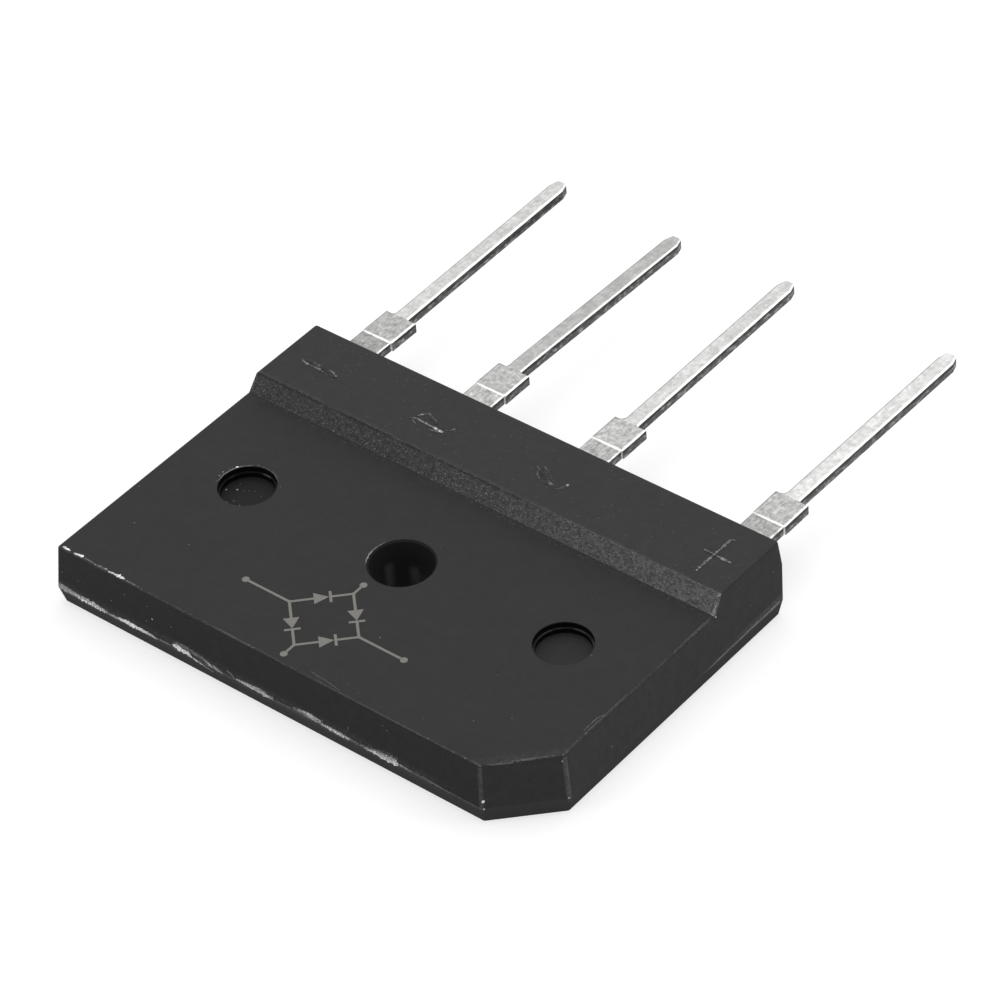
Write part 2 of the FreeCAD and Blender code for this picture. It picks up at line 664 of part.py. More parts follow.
def build_clips():
    width = "Sizes.clip_width"
    foot = "Sizes.foot_length"
    return [
        build_ac_clip("clip_ac_1", "-" + DIE_X),
        build_ac_clip("clip_ac_2", DIE_X),
        build_minus_clip("clip_minus"),
        foot_layer("foot_solder_ac_1", "-" + DIE_X, AC_FOOT, width, foot),
        foot_layer("foot_solder_ac_2", DIE_X, AC_FOOT, width, foot),
        foot_layer("foot_solder_minus", "-" + MINUS_FOOT, "Sizes.back_row", foot, width),
    ]


# The epoxy fills the mould round everything else

def fill_mould(mould, inner_pieces):
    stack = doc.addObject("Part::MultiFuse", "soldered_stack")
    stack.Shapes = inner_pieces
    epoxy = doc.addObject("Part::Cut", "encapsulant")
    epoxy.Label = "encapsulant"
    epoxy.Base = mould
    epoxy.Tool = stack
    doc.recompute()
    return epoxy


def check_document():
    for item in doc.Objects:
        if "Invalid" in item.State or "Error" in item.State:
            raise RuntimeError("%s is %s" % (item.Label, item.State))


def export_pieces(pieces):
    os.makedirs("parts", exist_ok=True)
    for piece in pieces:
        shape = piece.Shape
        if shape.isNull() or not shape.isValid() or len(shape.Solids) != 1:
            raise RuntimeError(piece.Label + " is not one valid solid")
    for piece in pieces:
        piece.Shape.exportStep("parts/%s.step" % piece.Label)


inside = build_leads() + build_dies() + build_clips()
encapsulant = fill_mould(moulded_body(), inside)
doc.recompute()
check_document()
export_pieces([encapsulant] + inside)
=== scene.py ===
import json
import math
import random

import bmesh
import bpy
from mathutils import Euler, Matrix, Vector


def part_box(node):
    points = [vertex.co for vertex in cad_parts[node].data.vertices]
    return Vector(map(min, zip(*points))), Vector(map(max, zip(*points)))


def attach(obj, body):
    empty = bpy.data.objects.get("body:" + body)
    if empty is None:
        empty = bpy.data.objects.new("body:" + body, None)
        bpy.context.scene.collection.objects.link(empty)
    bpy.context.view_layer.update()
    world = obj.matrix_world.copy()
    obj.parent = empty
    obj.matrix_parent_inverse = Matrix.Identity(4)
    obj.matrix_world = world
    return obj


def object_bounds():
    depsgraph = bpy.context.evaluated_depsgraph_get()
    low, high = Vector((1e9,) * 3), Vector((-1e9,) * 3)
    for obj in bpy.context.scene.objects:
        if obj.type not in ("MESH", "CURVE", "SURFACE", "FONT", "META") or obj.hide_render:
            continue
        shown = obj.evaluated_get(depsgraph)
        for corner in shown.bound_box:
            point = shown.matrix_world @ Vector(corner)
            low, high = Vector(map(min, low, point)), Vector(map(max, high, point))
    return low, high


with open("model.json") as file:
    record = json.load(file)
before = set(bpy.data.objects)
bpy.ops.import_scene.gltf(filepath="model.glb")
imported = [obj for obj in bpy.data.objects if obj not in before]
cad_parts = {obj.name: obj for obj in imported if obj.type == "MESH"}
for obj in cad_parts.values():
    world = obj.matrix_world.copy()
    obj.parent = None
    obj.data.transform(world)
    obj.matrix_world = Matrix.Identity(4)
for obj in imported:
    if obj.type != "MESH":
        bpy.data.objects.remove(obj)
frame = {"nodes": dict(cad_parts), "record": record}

# The looks of a flat bridge rectifier. Lengths are millimetres unless a name says otherwise,
# in the frame of the solids: the screw hole's axis is Z, and the leads run out along +Y.

MM = 0.001
SEED = 11
cad_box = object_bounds()
scene = bpy.context.scene
nodes = frame["nodes"]
mounts = {mount["name"]: mount for mount in frame["record"]["mounts"]}
draw = random.Random(SEED)

# Places on the object, read from the frame where it has them

body_low, body_high = (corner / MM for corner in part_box("encapsulant"))
PLATE_Z = mounts["screw_seat"]["pos_m"][2] / MM
BAND_Z = body_high.z
LEAD_Z = mounts["lead_row"]["pos_m"][2] / MM
PARTING_Z = 0.95
UPPER_SLOPE = math.tan(math.radians(5.0))
LOWER_SLOPE = math.tan(math.radians(12.0))
RAMP_CREST_Y = body_high.y - 4.74
RAMP_FOOT_Y = RAMP_CREST_Y - 0.63
CHAMFER = 2.94
CHAMFER_LEAN = math.sqrt(2.0) - 1.0
HOLE_RIM = 1.72
RECESS_X = 10.0
RECESS_RADIUS = 1.51
LEDGE_Z = PLATE_Z - 0.33
RECESS_FLOOR_Z = PLATE_Z - 0.6
PLATE_INSET = (PLATE_Z - PARTING_Z) * UPPER_SLOPE
COAT_Y = body_high.y + 1.96
SHOULDER_Y = body_high.y + 3.92
BEND_Y = body_high.y + 5.0
TIP_Y = body_high.y + 17.5


# Numbers that vary over a surface, written as ordinary sums

class Field:
    """A number at each point of a surface, made of shader maths."""

    def __init__(self, tree, socket):
        self.tree = tree
        self.socket = socket

    def maths(self, operation, *others):
        node = self.tree.nodes.new("ShaderNodeMath")
        node.operation = operation
        for slot, item in zip(node.inputs, (self,) + others):
            if isinstance(item, Field):
                self.tree.links.new(item.socket, slot)
            else:
                slot.default_value = item
        return Field(self.tree, node.outputs[0])

    def __add__(self, other):
        return self.maths("ADD", other)

    def __sub__(self, other):
        return self.maths("SUBTRACT", other)

    def __mul__(self, other):
        return self.maths("MULTIPLY", other)

    def __abs__(self):
        return self.maths("ABSOLUTE")

    __radd__ = __add__
    __rmul__ = __mul__

    def inverted(self):
        return self * -1.0 + 1.0

    def larger(self, other):
        return self.maths("MAXIMUM", other)

    def smaller(self, other):
        return self.maths("MINIMUM", other)

    def rise(self, low, high):
        """0 below low, 1 above high and smooth between them."""
        node = self.tree.nodes.new("ShaderNodeMapRange")
        node.interpolation_type = "SMOOTHSTEP"
        self.tree.links.new(self.socket, node.inputs["Value"])
        node.inputs["From Min"].default_value = low
        node.inputs["From Max"].default_value = high
        return Field(self.tree, node.outputs["Result"])

    def near(self, middle, reach, soft):
        """1 within reach of middle, falling to 0 over soft."""
        return abs(self - middle).rise(reach, reach + soft).inverted()

    def between(self, low, high, soft):
        return self.near((low + high) / 2, (high - low) / 2, soft)

    def dimmed(self, where, share):
        """Multiplied by share where the field where is 1."""
        return self * (where * (share - 1.0) + 1.0)

    def swapped(self, where, value):
        """Replaced by value where the field where is 1."""
        return self * where.inverted() + where * value


class Surface:
    """A material under construction: its place fields in millimetres, noises and shader."""

    def __init__(self, name):
        self.material = bpy.data.materials.new(name)
        self.material.use_nodes = True
        self.tree = self.material.node_tree
        self.shader = self.tree.nodes["Principled BSDF"]
        place = self.tree.nodes.new("ShaderNodeTexCoord")
        scaled = self.tree.nodes.new("ShaderNodeVectorMath")
        scaled.operation = "SCALE"
        scaled.inputs["Scale"].default_value = 1 / MM
        self.tree.links.new(place.outputs["Object"], scaled.inputs[0])
        self.place = scaled.outputs[0]
        self.x, self.y, self.z = self.split(self.place)
        self.gloss = None

    def split(self, vector):
        node = self.tree.nodes.new("ShaderNodeSeparateXYZ")
        self.tree.links.new(vector, node.inputs[0])
        return [Field(self.tree, output) for output in node.outputs]

    def normal(self):
        node = self.tree.nodes.new("ShaderNodeNewGeometry")
        return self.split(node.outputs["Normal"])

    def away(self, x_place, y_place):
        """Distance in plan from a place."""
        across = self.x - x_place
        along = self.y - y_place
        return (across * across + along * along).maths("SQRT")

    def attribute(self, name):
        node = self.tree.nodes.new("ShaderNodeAttribute")
        node.attribute_name = name
        return Field(self.tree, node.outputs["Fac"])

    def shifted(self, offset, stretch):
        node = self.tree.nodes.new("ShaderNodeMapping")
        node.inputs["Location"].default_value = offset
        node.inputs["Scale"].default_value = stretch
        self.tree.links.new(self.place, node.inputs["Vector"])
        return node.outputs[0]

    def noise(self, per_mm, detail=2.0, rough=0.5, offset=(0, 0, 0), stretch=(1, 1, 1)):
        node = self.tree.nodes.new("ShaderNodeTexNoise")
        node.inputs["Scale"].default_value = per_mm
        node.inputs["Detail"].default_value = detail
        node.inputs["Roughness"].default_value = rough
        self.tree.links.new(self.shifted(offset, stretch), node.inputs["Vector"])
        return Field(self.tree, node.outputs["Fac"])

    def cells(self, per_mm, offset=(0, 0, 0)):
        """Distance to the nearest of a scatter of points, in cell widths."""
        node = self.tree.nodes.new("ShaderNodeTexVoronoi")
        node.inputs["Scale"].default_value = per_mm
        self.tree.links.new(self.shifted(offset, (1, 1, 1)), node.inputs["Vector"])
        return Field(self.tree, node.outputs["Distance"])

    def grey(self, level, tint=(1.0, 1.0, 1.0)):
        """Colours the shader with a field of grey, tinted."""
        node = self.tree.nodes.new("ShaderNodeCombineColor")
        for slot, share in zip(node.inputs, tint):
            self.tree.links.new((level * share).socket, slot)
        self.tree.links.new(node.outputs[0], self.shader.inputs["Base Color"])

    def blend(self, share, first, second):
        """Colours the shader from one colour to another by a field."""
        node = self.tree.nodes.new("ShaderNodeMix")
        node.data_type = "RGBA"
        self.tree.links.new(share.socket, node.inputs[0])
        node.inputs[6].default_value = (*first, 1.0)
        node.inputs[7].default_value = (*second, 1.0)
        self.tree.links.new(node.outputs[2], self.shader.inputs["Base Color"])

    def rough(self, level):
        if isinstance(level, Field):
            self.tree.links.new(level.socket, self.shader.inputs["Roughness"])
        else:
            self.shader.inputs["Roughness"].default_value = level

    def shine(self, level):
        self.shader.inputs["Specular IOR Level"].default_value = level

    def metal(self):
        self.shader.inputs["Metallic"].default_value = 1.0

    def relief(self, height, depth):
        """Bump from a field, depth millimetres from 0 to 1."""
        node = self.tree.nodes.new("ShaderNodeBump")
        node.inputs["Strength"].default_value = 1.0
        node.inputs["Distance"].default_value = depth * MM
        self.tree.links.new(height.socket, node.inputs["Height"])
        self.tree.links.new(node.outputs[0], self.shader.inputs["Normal"])


# The moulding compound: levels are linear greys, and each gloss share multiplies GLOSS

PLATE_LEVEL = 0.0148
BAND_LEVEL = 0.0204
# FRONT_LEVEL, RIGHT_LEVEL and CHAMFER_LEVEL are painted shade: the walls are greyed darker than the plate
# as light falls on them.
FRONT_LEVEL = 0.0085
RIGHT_LEVEL = 0.0142
CHAMFER_LEVEL = 0.0135
# RECESS_WALL_LEVEL is painted shade on the recess walls, and HOLE_GLOW_LEVEL a painted glow on the hole's
# wall.
RECESS_WALL_LEVEL = 0.002
HOLE_LEVEL = 0.016
HOLE_GLOW_LEVEL = 0.08
GLOSS = 0.25
# HOLLOW_GLOSS dims the gloss in the hollows as painted shade.
HOLLOW_GLOSS = 0.06
# The front, right and lower gloss shares are painted shade too: they dim the white floor that those walls
# mirror.
FRONT_GLOSS_SHARE = 0.62
RIGHT_GLOSS_SHARE = 0.8
LOWER_GLOSS_SHARE = 0.5
RAMP_END_X = 14.5

# Each recess: its side, and the shares of grey and gloss that its floor keeps, as painted shade
RECESSES = ((-1, 0.42, 0.75), (1, 0.75, 1.0))

# Each painted glow of light on the hole's wall: x, y, lowest and highest z
HOLE_GLOWS = ((-1.52, 0.64, 0.9, 1.9), (-0.65, 1.52, 0.9, 1.5))


def wall_levels(surface):
    """The compound's grey and gloss by the way each wall faces, which paints shade: the walls darker than
    the top, and the lower walls darker still.
    """
    normal_x, normal_y, normal_z = surface.normal()
    up = normal_z.rise(0.75, 0.95)
    front = normal_y.rise(-0.97, -0.85).inverted()
    right = normal_x.rise(0.85, 0.97)
    level = up * (PLATE_LEVEL - CHAMFER_LEVEL) + CHAMFER_LEVEL
    level = level + front * (FRONT_LEVEL - CHAMFER_LEVEL) + right * (RIGHT_LEVEL - CHAMFER_LEVEL)
    # Painted shade: walls that lean downwards are darker, and on the right their gloss is dimmed further.
    lower = normal_z.near(-0.2, 0.07, 0.03)
    gloss = (front * (FRONT_GLOSS_SHARE - 1.0) + 1.0) * GLOSS
    surface.gloss = gloss.dimmed(right, RIGHT_GLOSS_SHARE).dimmed(lower * right, LOWER_GLOSS_SHARE)
    on_band = surface.z.rise(PLATE_Z + 0.6, PLATE_Z + 0.8) * up
    specks = surface.cells(3.2, offset=(9, 1, 6)).rise(0.08, 0.22).inverted()
    specks = specks * surface.noise(1.4, detail=1.0, offset=(4, 0, 9)).rise(0.45, 0.55)
    level = level + on_band * (specks * 0.025 + (BAND_LEVEL - PLATE_LEVEL))
    blotches = surface.noise(1.6, detail=3.0, rough=0.65, offset=(2, 8, 5))
    uneven = (blotches - 0.5) * (up * -0.8 + 1.4) + 1.0
    return level.dimmed(lower, 0.5) * uneven


def ramp_sparks(surface, level):
    """The step's slope: dense bright dots, a dark crest and a paler right end.

    Gives the new grey, and how strongly the dots stand out.
    """
    x, y, z = surface.x, surface.y, surface.z
    above = z.rise(PLATE_Z - 0.2, PLATE_Z - 0.1) * surface.normal()[0].rise(0.6, 0.85).inverted()
    on_ramp = y.between(RAMP_FOOT_Y, RAMP_CREST_Y, 0.06) * above
    fringe = y.between(RAMP_FOOT_Y - 0.3, RAMP_FOOT_Y, 0.15) * above
    dots = surface.cells(6.5, offset=(3, 7, 1)).rise(0.15, 0.5).inverted()
    chosen = surface.noise(5.0, detail=2.0, rough=0.7, offset=(1, 5, 2)).rise(0.36, 0.62)
    rough = surface.noise(5.0, detail=4.0, rough=0.75, offset=(6, 2, 4)).rise(0.36, 0.66)
    worn = x.rise(-8.0, 18.0)
    level = level + on_ramp * (rough * 0.034 + 0.010 + dots * chosen * 0.13)
    level = level + on_ramp * worn * (rough * 0.06 + 0.03)
    level = level + fringe * dots * chosen * 0.03
    wander = surface.noise(0.8, detail=1.0, offset=(7, 7, 0)).rise(0.3, 0.6)
    crest = y.near(RAMP_CREST_Y - 0.02, 0.03, 0.05) * above * x.rise(2.0, 5.0).inverted()
    level = level.dimmed(crest * wander, 0.45)
    ridge = y.near(RAMP_CREST_Y + 0.1, 0.04, 0.07) * above * wander * chosen
    right_end = x.rise(RAMP_END_X, RAMP_END_X + 0.1) * on_ramp
    level = level + ridge * 0.02 + right_end * (rough * 0.12 + 0.05 + dots * 0.1)
    return level, on_ramp * dots * chosen


def hollows(surface, level):
    """The hole and the two round recesses, which catch little light. Their shade is painted: darker recess
    floors, near-black recess walls and less gloss in the hollows, with painted highlights on the recess
    ledges and painted glows on the hole's wall.
    """
    normal_z = surface.normal()[2]
    up = normal_z.rise(0.75, 0.95)
    below = surface.z.rise(PLATE_Z - 0.08, PLATE_Z - 0.03).inverted()
    for side, floor_share, floor_gloss in RECESSES:
        away = surface.away(side * RECESS_X, 0.0)
        inside = away.rise(RECESS_RADIUS + 0.03, RECESS_RADIUS + 0.06).inverted() * below
        level = level.dimmed(inside * up, floor_share)
        surface.gloss = surface.gloss.dimmed(inside * up, floor_gloss)
        shaded_recess_wall = inside * up.inverted()
        level = level.swapped(shaded_recess_wall, RECESS_WALL_LEVEL)
        surface.gloss = surface.gloss.swapped(shaded_recess_wall, HOLLOW_GLOSS)
        broken = surface.noise(1.3, detail=2.0, offset=(side, 5, 3)).rise(0.44, 0.62)
        # Painted highlight on the ledge of each recess, broken up by noise.
        ledge_highlight = away.near(RECESS_RADIUS - 0.07, 0.03, 0.03) * surface.z.near(LEDGE_Z, 0.03, 0.03)
        level = level + ledge_highlight * broken * surface.y.rise(-0.4, 0.4) * (0.06 - side * 0.02)
    away = surface.away(0.0, 0.0)
    inside = away.rise(HOLE_RIM, HOLE_RIM + 0.03).inverted()
    level = level.swapped(inside, HOLE_LEVEL)
    surface.gloss = surface.gloss.swapped(inside, HOLLOW_GLOSS)
    for x_place, y_place, low, high in HOLE_GLOWS:
        glow = surface.away(x_place, y_place).rise(0.0, 0.4).inverted()
        level = level + glow * surface.z.between(low, high, 0.5) * inside * HOLE_GLOW_LEVEL
    return level


def edge_highlights(surface, level):
    """Faint painted highlights along the plate's edges, the parting line and the chamfer's corners."""
    x, y, z = surface.x, surface.y, surface.z
    normal_x, normal_y, normal_z = surface.normal()
    haze = surface.noise(5.0, detail=3.0, rough=0.65, offset=(1, 4, 2)).rise(0.35, 0.75)
    # Painted highlights along the plate's front and right top edges and above the chamfer.
    front_edge_highlight = y.near(body_low.y + PLATE_INSET + 0.06, 0.03, 0.05)
    front_edge_highlight = front_edge_highlight * z.rise(PLATE_Z - 0.08, PLATE_Z - 0.03)
    right_edge_highlight = x.near(body_high.x - PLATE_INSET - 0.08, 0.03, 0.06) * z.rise(PLATE_Z - 0.05, PLATE_Z)
    right_edge_highlight = right_edge_highlight * y.rise(5.4, 5.6).inverted() * (y.rise(1.5, 5.0) * 1.2 + 1.0)
    diagonal = (y - x) * math.sqrt(0.5)
    chamfer_line = (body_low.y - body_high.x + CHAMFER) * math.sqrt(0.5) + PLATE_INSET
    chamfer_edge_highlight = diagonal.near(chamfer_line + 0.2, 0.1, 0.4) * z.rise(PLATE_Z - 0.05, PLATE_Z)
    level = level + (front_edge_highlight * 0.035 + right_edge_highlight * 0.028 + chamfer_edge_highlight * 0.02) * haze
    # Painted highlights along the chamfer's two upright corners.
    upright = abs(normal_z).rise(0.15, 0.25).inverted() * x.rise(11.8, 11.9)
    inset = (z - PARTING_Z) * UPPER_SLOPE
    sideways = inset * CHAMFER_LEAN
    left_corner = surface.away(sideways * -1.0 + (body_high.x - CHAMFER), inset + body_low.y)
    right_corner = surface.away(inset * -1.0 + body_high.x, sideways + (body_low.y + CHAMFER))
    left_corner = left_corner.rise(0.05, 0.16).inverted() * upright
    right_corner = right_corner.rise(0.06, 0.2).inverted() * upright
    level = level + left_corner * (haze * 0.045 + 0.03) + right_corner * (haze * 0.05 + 0.035)
    outside = surface.away(0.0, 0.0).rise(2.5, 3.0) * normal_z.rise(0.5, 0.9).inverted()
    lead_wall = normal_y.rise(0.7, 0.9)
    quiet = normal_x.rise(0.3, 0.6) * y.rise(3.5, 5.5).inverted()
    # Painted highlight along the parting line, and along the lead frame's parting where the leads leave the
    # body.
    parting = z.near(PARTING_Z + 0.02, 0.02, 0.04) * lead_wall.inverted()
    parting = parting.dimmed(quiet, 0.1)
    lead_parting_highlight = z.near(LEAD_Z, 0.02, 0.04) * lead_wall * 0.6
    # Painted highlights in bands along the parting line on the front and right walls.
    front_wall = normal_y.rise(-0.97, -0.85).inverted() * x.rise(8.0, 11.0).inverted()
    level = level + z.near(1.05, 0.08, 0.5) * front_wall * (haze * 0.035 + 0.006)
    right_wall = normal_x.rise(0.85, 0.97) * y.rise(4.0, 11.0)
    level = level + z.near(1.08, 0.08, 0.3) * right_wall * (haze * 0.06 + 0.02)
    return level + (parting + lead_parting_highlight) * outside * (haze * 0.09 + 0.035)


def epoxy_body():
    """Matte black epoxy with a sparked ramp, painted shade by facing and in the hollows, and painted
    highlights along the edges.
    """
    surface = Surface("moulded_epoxy")
    grain = surface.noise(7.0, detail=3.0, rough=0.6)
    clouds = surface.noise(0.3, detail=2.0)
    level = wall_levels(surface) * (grain * 0.36 + 0.82) * (clouds * 0.24 + 0.88)
    level, sparks = ramp_sparks(surface, level)
    level = hollows(surface, level)
    level = edge_highlights(surface, level)
    flecks = surface.cells(2.6, offset=(4, 4, 4)).rise(0.045, 0.075).inverted()
    fewer = surface.noise(1.1, detail=0.0, offset=(8, 8, 8)).rise(0.5, 0.56)
    level = level + flecks * fewer * 0.035
    surface.grey(level, tint=(1.0, 1.0, 0.985))
    surface.rough(grain * 0.12 + 0.52)
    surface.tree.links.new(surface.gloss.socket, surface.shader.inputs["Specular IOR Level"])
    surface.relief(grain * 0.5 + sparks * 1.8, 0.03)
    return surface.material


def epoxy_sign():
    """The body's compound on the raised signs, a little paler along their rims: painted highlight on the
    shoulders, with rubbed wear.
    """
    surface = Surface("moulded_sign")
    rim = surface.attribute("rim")
    chips = surface.noise(6.0, detail=4.0, rough=0.7).rise(0.42, 0.62)
    grain = surface.noise(5.0, detail=3.0, rough=0.6)
    pits = surface.noise(3.0, detail=1.0, offset=(2, 6, 1)).rise(0.55, 0.68)
    # Painted highlight along the rims, broken up by noise, with rubbed wear.
    level = grain * 0.01 + 0.014 + rim * chips * 0.05
    surface.grey(level.dimmed(pits, 0.25))
    surface.rough(0.55)
    surface.shine(GLOSS)
    surface.relief(grain, 0.02)
    return surface.material


def laser_mark():
    """The warm grey of a mark burnt into the epoxy by a laser."""
    surface = Surface("laser_grey")
    grain = surface.noise(10.0, detail=3.0, rough=0.7)
    surface.grey(grain * 0.12 + 0.16, tint=(1.0, 0.97, 0.9))
    surface.rough(0.8)
    surface.shine(0.2)
    return surface.material


def wear_and_painted_light_epoxy():
    """Rubbed compound, painted highlights and painted shade, as pale as each mark's own attribute says."""
    surface = Surface("wear_and_painted_light_epoxy")
    streaks = surface.noise(9.0, detail=4.0, rough=0.75, stretch=(0.6, 1, 1)).rise(0.3, 0.6)
    surface.grey(surface.attribute("pale") * (streaks * 0.6 + 0.68) + 0.005)
    surface.rough(0.6)
    surface.shine(0.3)
    return surface.material


# The metals and the dies

TIN = 0.78
SIDE_UPPER = 0.035
SIDE_LOWER = 0.09


def tin(name, tones, centre, shift, lift):
    """Mottled matte tin on one lead, with the darker sheared sides of the stamped strip, partly painted
    shade, and painted highlights and shade along its edges.
    """
    surface = Surface("tin_" + name)
    y = surface.y
    normal_x, normal_y, normal_z = surface.normal()
    bent = ((y - BEND_Y) * (1 / (TIP_Y - BEND_Y))).larger(0.0)
    across = surface.x - bent * shift - centre
    height = surface.z - bent * lift - LEAD_Z
    mottle = surface.noise(3.4, detail=4.0, rough=0.6)
    streaks = surface.noise(3.0, detail=3.0, rough=0.6, offset=(5, 1, 2), stretch=(1, 0.25, 1))
    broad = surface.noise(1.2, detail=2.0, offset=(3, 3, 0))
    narrow = y.rise(SHOULDER_Y - 0.1, SHOULDER_Y)
    shank = y.rise(COAT_Y - 0.08, COAT_Y - 0.02).inverted()
    fine = surface.noise(9.0, detail=3.0, rough=0.7, offset=(1, 9, 3), stretch=(1, 0.35, 1))
    level = (mottle - 0.5) * (narrow * -0.8 + 1.6) + 1.0
    level = level * ((fine - 0.5) * (narrow * -0.8 + 1.3) + 1.0) * (broad * 0.3 + 0.85)
    level = level * (narrow * (streaks * 0.5 - 0.25) + 1.0) * TIN
    narrow_tone, shoulder_tone, shank_tone = tones
    level = level * (narrow * (narrow_tone - shoulder_tone) + shank * (shank_tone - shoulder_tone)
                     + shoulder_tone)
    # Painted shade on the left rounded edge and along the left of the top; painted highlight on the right
    # rounded edge.
    left_edge_shade = normal_x.between(-0.9, -0.3, 0.1) * normal_z.rise(0.2, 0.4)
    right_edge_highlight = normal_x.between(0.3, 0.85, 0.1) * normal_z.rise(0.2, 0.4)
    left_rim_shade = (across - narrow * 0.52).rise(-0.92, -0.86).inverted() * normal_z.rise(0.6, 0.8)
    level = level.dimmed(left_edge_shade, 0.45).dimmed(left_rim_shade, 0.7)
    level = level + right_edge_highlight * 0.35
    # Painted highlights where the coat starts and along the right edge of the shank.
    coat_start_highlight = y.near(COAT_Y, 0.03, 0.03) * (across.rise(-1.0, 0.2) * 0.6 + 0.4)
    shank_edge_highlight = across.rise(0.8, 0.85) * shank * normal_z.rise(0.7, 0.9)
    level = level + coat_start_highlight * 0.42 + shank_edge_highlight * (mottle * 0.5 + 0.2)
    # The sides are darker partly for the stamped edge's own finish and partly as painted shade, since
    # bright metal sides would mirror the white floor.
    sheared = abs(normal_z).rise(0.25, 0.45).inverted()
    torn = surface.noise(4.5, detail=4.0, rough=0.7, stretch=(1, 0.5, 1)).rise(0.46, 0.7)
    upper = height.rise(0.0, 0.08)
    side = (torn * 0.3 + SIDE_LOWER) * upper.inverted() + upper * (torn * 0.12 + SIDE_UPPER)
    side = side + coat_start_highlight * 0.5
    level = level * sheared.inverted() + side * sheared
    surface.grey(level.smaller(0.98), tint=(1.0, 1.0, 0.985))
    surface.metal()
    surface.rough(mottle * 0.16 + 0.3 + sheared * 0.15)
    surface.relief(mottle + streaks * 0.3, 0.012)
    return surface.material


def copper():
    surface = Surface("rolled_copper")
    lines = surface.noise(6.0, detail=3.0, stretch=(1, 0.1, 1))
    surface.blend(lines, (0.62, 0.29, 0.17), (0.84, 0.46, 0.3))
    surface.metal()
    surface.rough(lines * 0.2 + 0.25)
    surface.relief(lines, 0.004)
    return surface.material


def solder():
    surface = Surface("dull_solder")
    grain = surface.noise(8.0, detail=3.0)
    surface.grey(grain * 0.2 + 0.42)
    surface.metal()
    surface.rough(grain * 0.2 + 0.35)
    surface.relief(grain, 0.006)
    return surface.material


def silicon():
    surface = Surface("silicon_die")
    grain = surface.noise(14.0, detail=2.0)
    surface.blend(grain, (0.1, 0.11, 0.13), (0.17, 0.18, 0.21))
    surface.rough(grain * 0.1 + 0.22)
    surface.relief(grain, 0.002)
    return surface.material


# Helpers for the added pieces

def finish_piece(name, mesh, material):
    """A piece made of a bmesh, riding on the body."""
    bmesh.ops.recalc_face_normals(mesh, faces=mesh.faces)
    data = bpy.data.meshes.new(name)
    mesh.to_mesh(data)
    mesh.free()
    data.materials.append(material)
    piece = bpy.data.objects.new(name, data)
    scene.collection.objects.link(piece)
    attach(piece, "root")
    return piece


def inset_outline(points, reach):
    """A closed outline, listed anticlockwise, moved inwards by reach and mitred."""
    moved = []
    for before, point, after in zip(points[-1:] + points[:-1], points, points[1:] + points[:1]):
        first = (point - before).normalized()
        second = (after - point).normalized()
        way = (first + second).normalized()
        side = Vector((-way.y, way.x))
        lean = side.dot(Vector((-first.y, first.x)))
        moved.append(point + side * reach / max(0.6, lean))
    return moved


# The polarity signs on the band: the width of the slope, and an outline listed anticlockwise

SIGN_HEIGHT = 0.02
SIGN_SINK = 0.01
SIGNS = {
    "sign_minus": (0.06, (
        (-13.45, 8.25), (-13.13, 8.12), (-12.20, 8.12), (-11.50, 8.00), (-11.02, 7.98),
        (-10.98, 8.20), (-11.40, 8.46), (-12.20, 8.50), (-12.90, 8.50), (-13.42, 8.42),
    )),
    "sign_ac_1": (0.05, (
        (-5.92, 7.80), (-5.59, 7.80), (-5.12, 7.86), (-4.64, 7.88), (-3.93, 7.84), (-3.40, 7.80),
        (-3.32, 8.10), (-3.42, 8.60), (-3.56, 8.56), (-3.64, 8.32), (-3.90, 8.20), (-4.25, 8.27),
        (-4.60, 8.45), (-5.34, 8.78), (-5.60, 8.55), (-5.74, 8.25),
    )),
    "sign_ac_2": (0.05, (
        (1.46, 8.22), (1.86, 8.28), (2.10, 8.00), (2.70, 7.76), (3.30, 7.70), (3.80, 7.92),
        (3.90, 8.28), (3.75, 8.42), (3.40, 8.14), (3.02, 8.14), (2.45, 8.60), (1.98, 8.84),
        (1.60, 8.72),
    )),
    "sign_plus": (0.02, (
        (12.63, 6.90), (12.77, 6.90), (12.78, 8.24), (13.75, 8.22), (13.75, 8.36), (12.79, 8.38),
        (12.81, 9.72), (12.67, 9.72), (12.64, 8.40), (12.10, 8.43), (12.10, 8.29), (12.63, 8.26),
    )),
}


def build_sign(name, bevel, outline, material):
    """A low raised shape with sloping sides: rim is 1 on its shoulders and 0 inside."""
    mesh = bmesh.new()
    rim = mesh.verts.layers.float.new("rim")
    outline = [Vector(point) for point in outline]
    rings = []
    steps = ((0, -SIGN_SINK, 1), (bevel * 0.6, SIGN_HEIGHT, 1), (bevel, SIGN_HEIGHT, 0))
    for reach, lift, rubbed in steps:
        ring = []
        for point in inset_outline(outline, reach):
            vertex = mesh.verts.new((point.x * MM, point.y * MM, (BAND_Z + lift) * MM))
            vertex[rim] = rubbed
            ring.append(vertex)
        rings.append(ring)
    for lower, upper in zip(rings, rings[1:]):
        for i in range(len(outline)):
            j = (i + 1) % len(outline)
            mesh.faces.new((lower[i], lower[j], upper[j], upper[i]))
    mesh.faces.new(rings[-1])
    mesh.faces.new(rings[0][::-1])
    finish_piece(name, mesh, material)


# Wear, painted highlights and painted shade on the faces

class Ground:
    """A face that marks lie on: where two coordinates put a mark, and the face's normal.

    A mark's middle is lift above the face and its rim is rest above it. The other three say how
    uneven the marks are, and by how much their widths and greys are multiplied.
    """

    def __init__(self, place, normal, lift=0.008, rest=0.002, ragged=0.4, widen=1.0, gain=1.0):
        self.place = place
        self.normal = Vector(normal).normalized()
        self.lift = lift
        self.rest = rest
        self.ragged = ragged
        self.widen = widen
        self.gain = gain


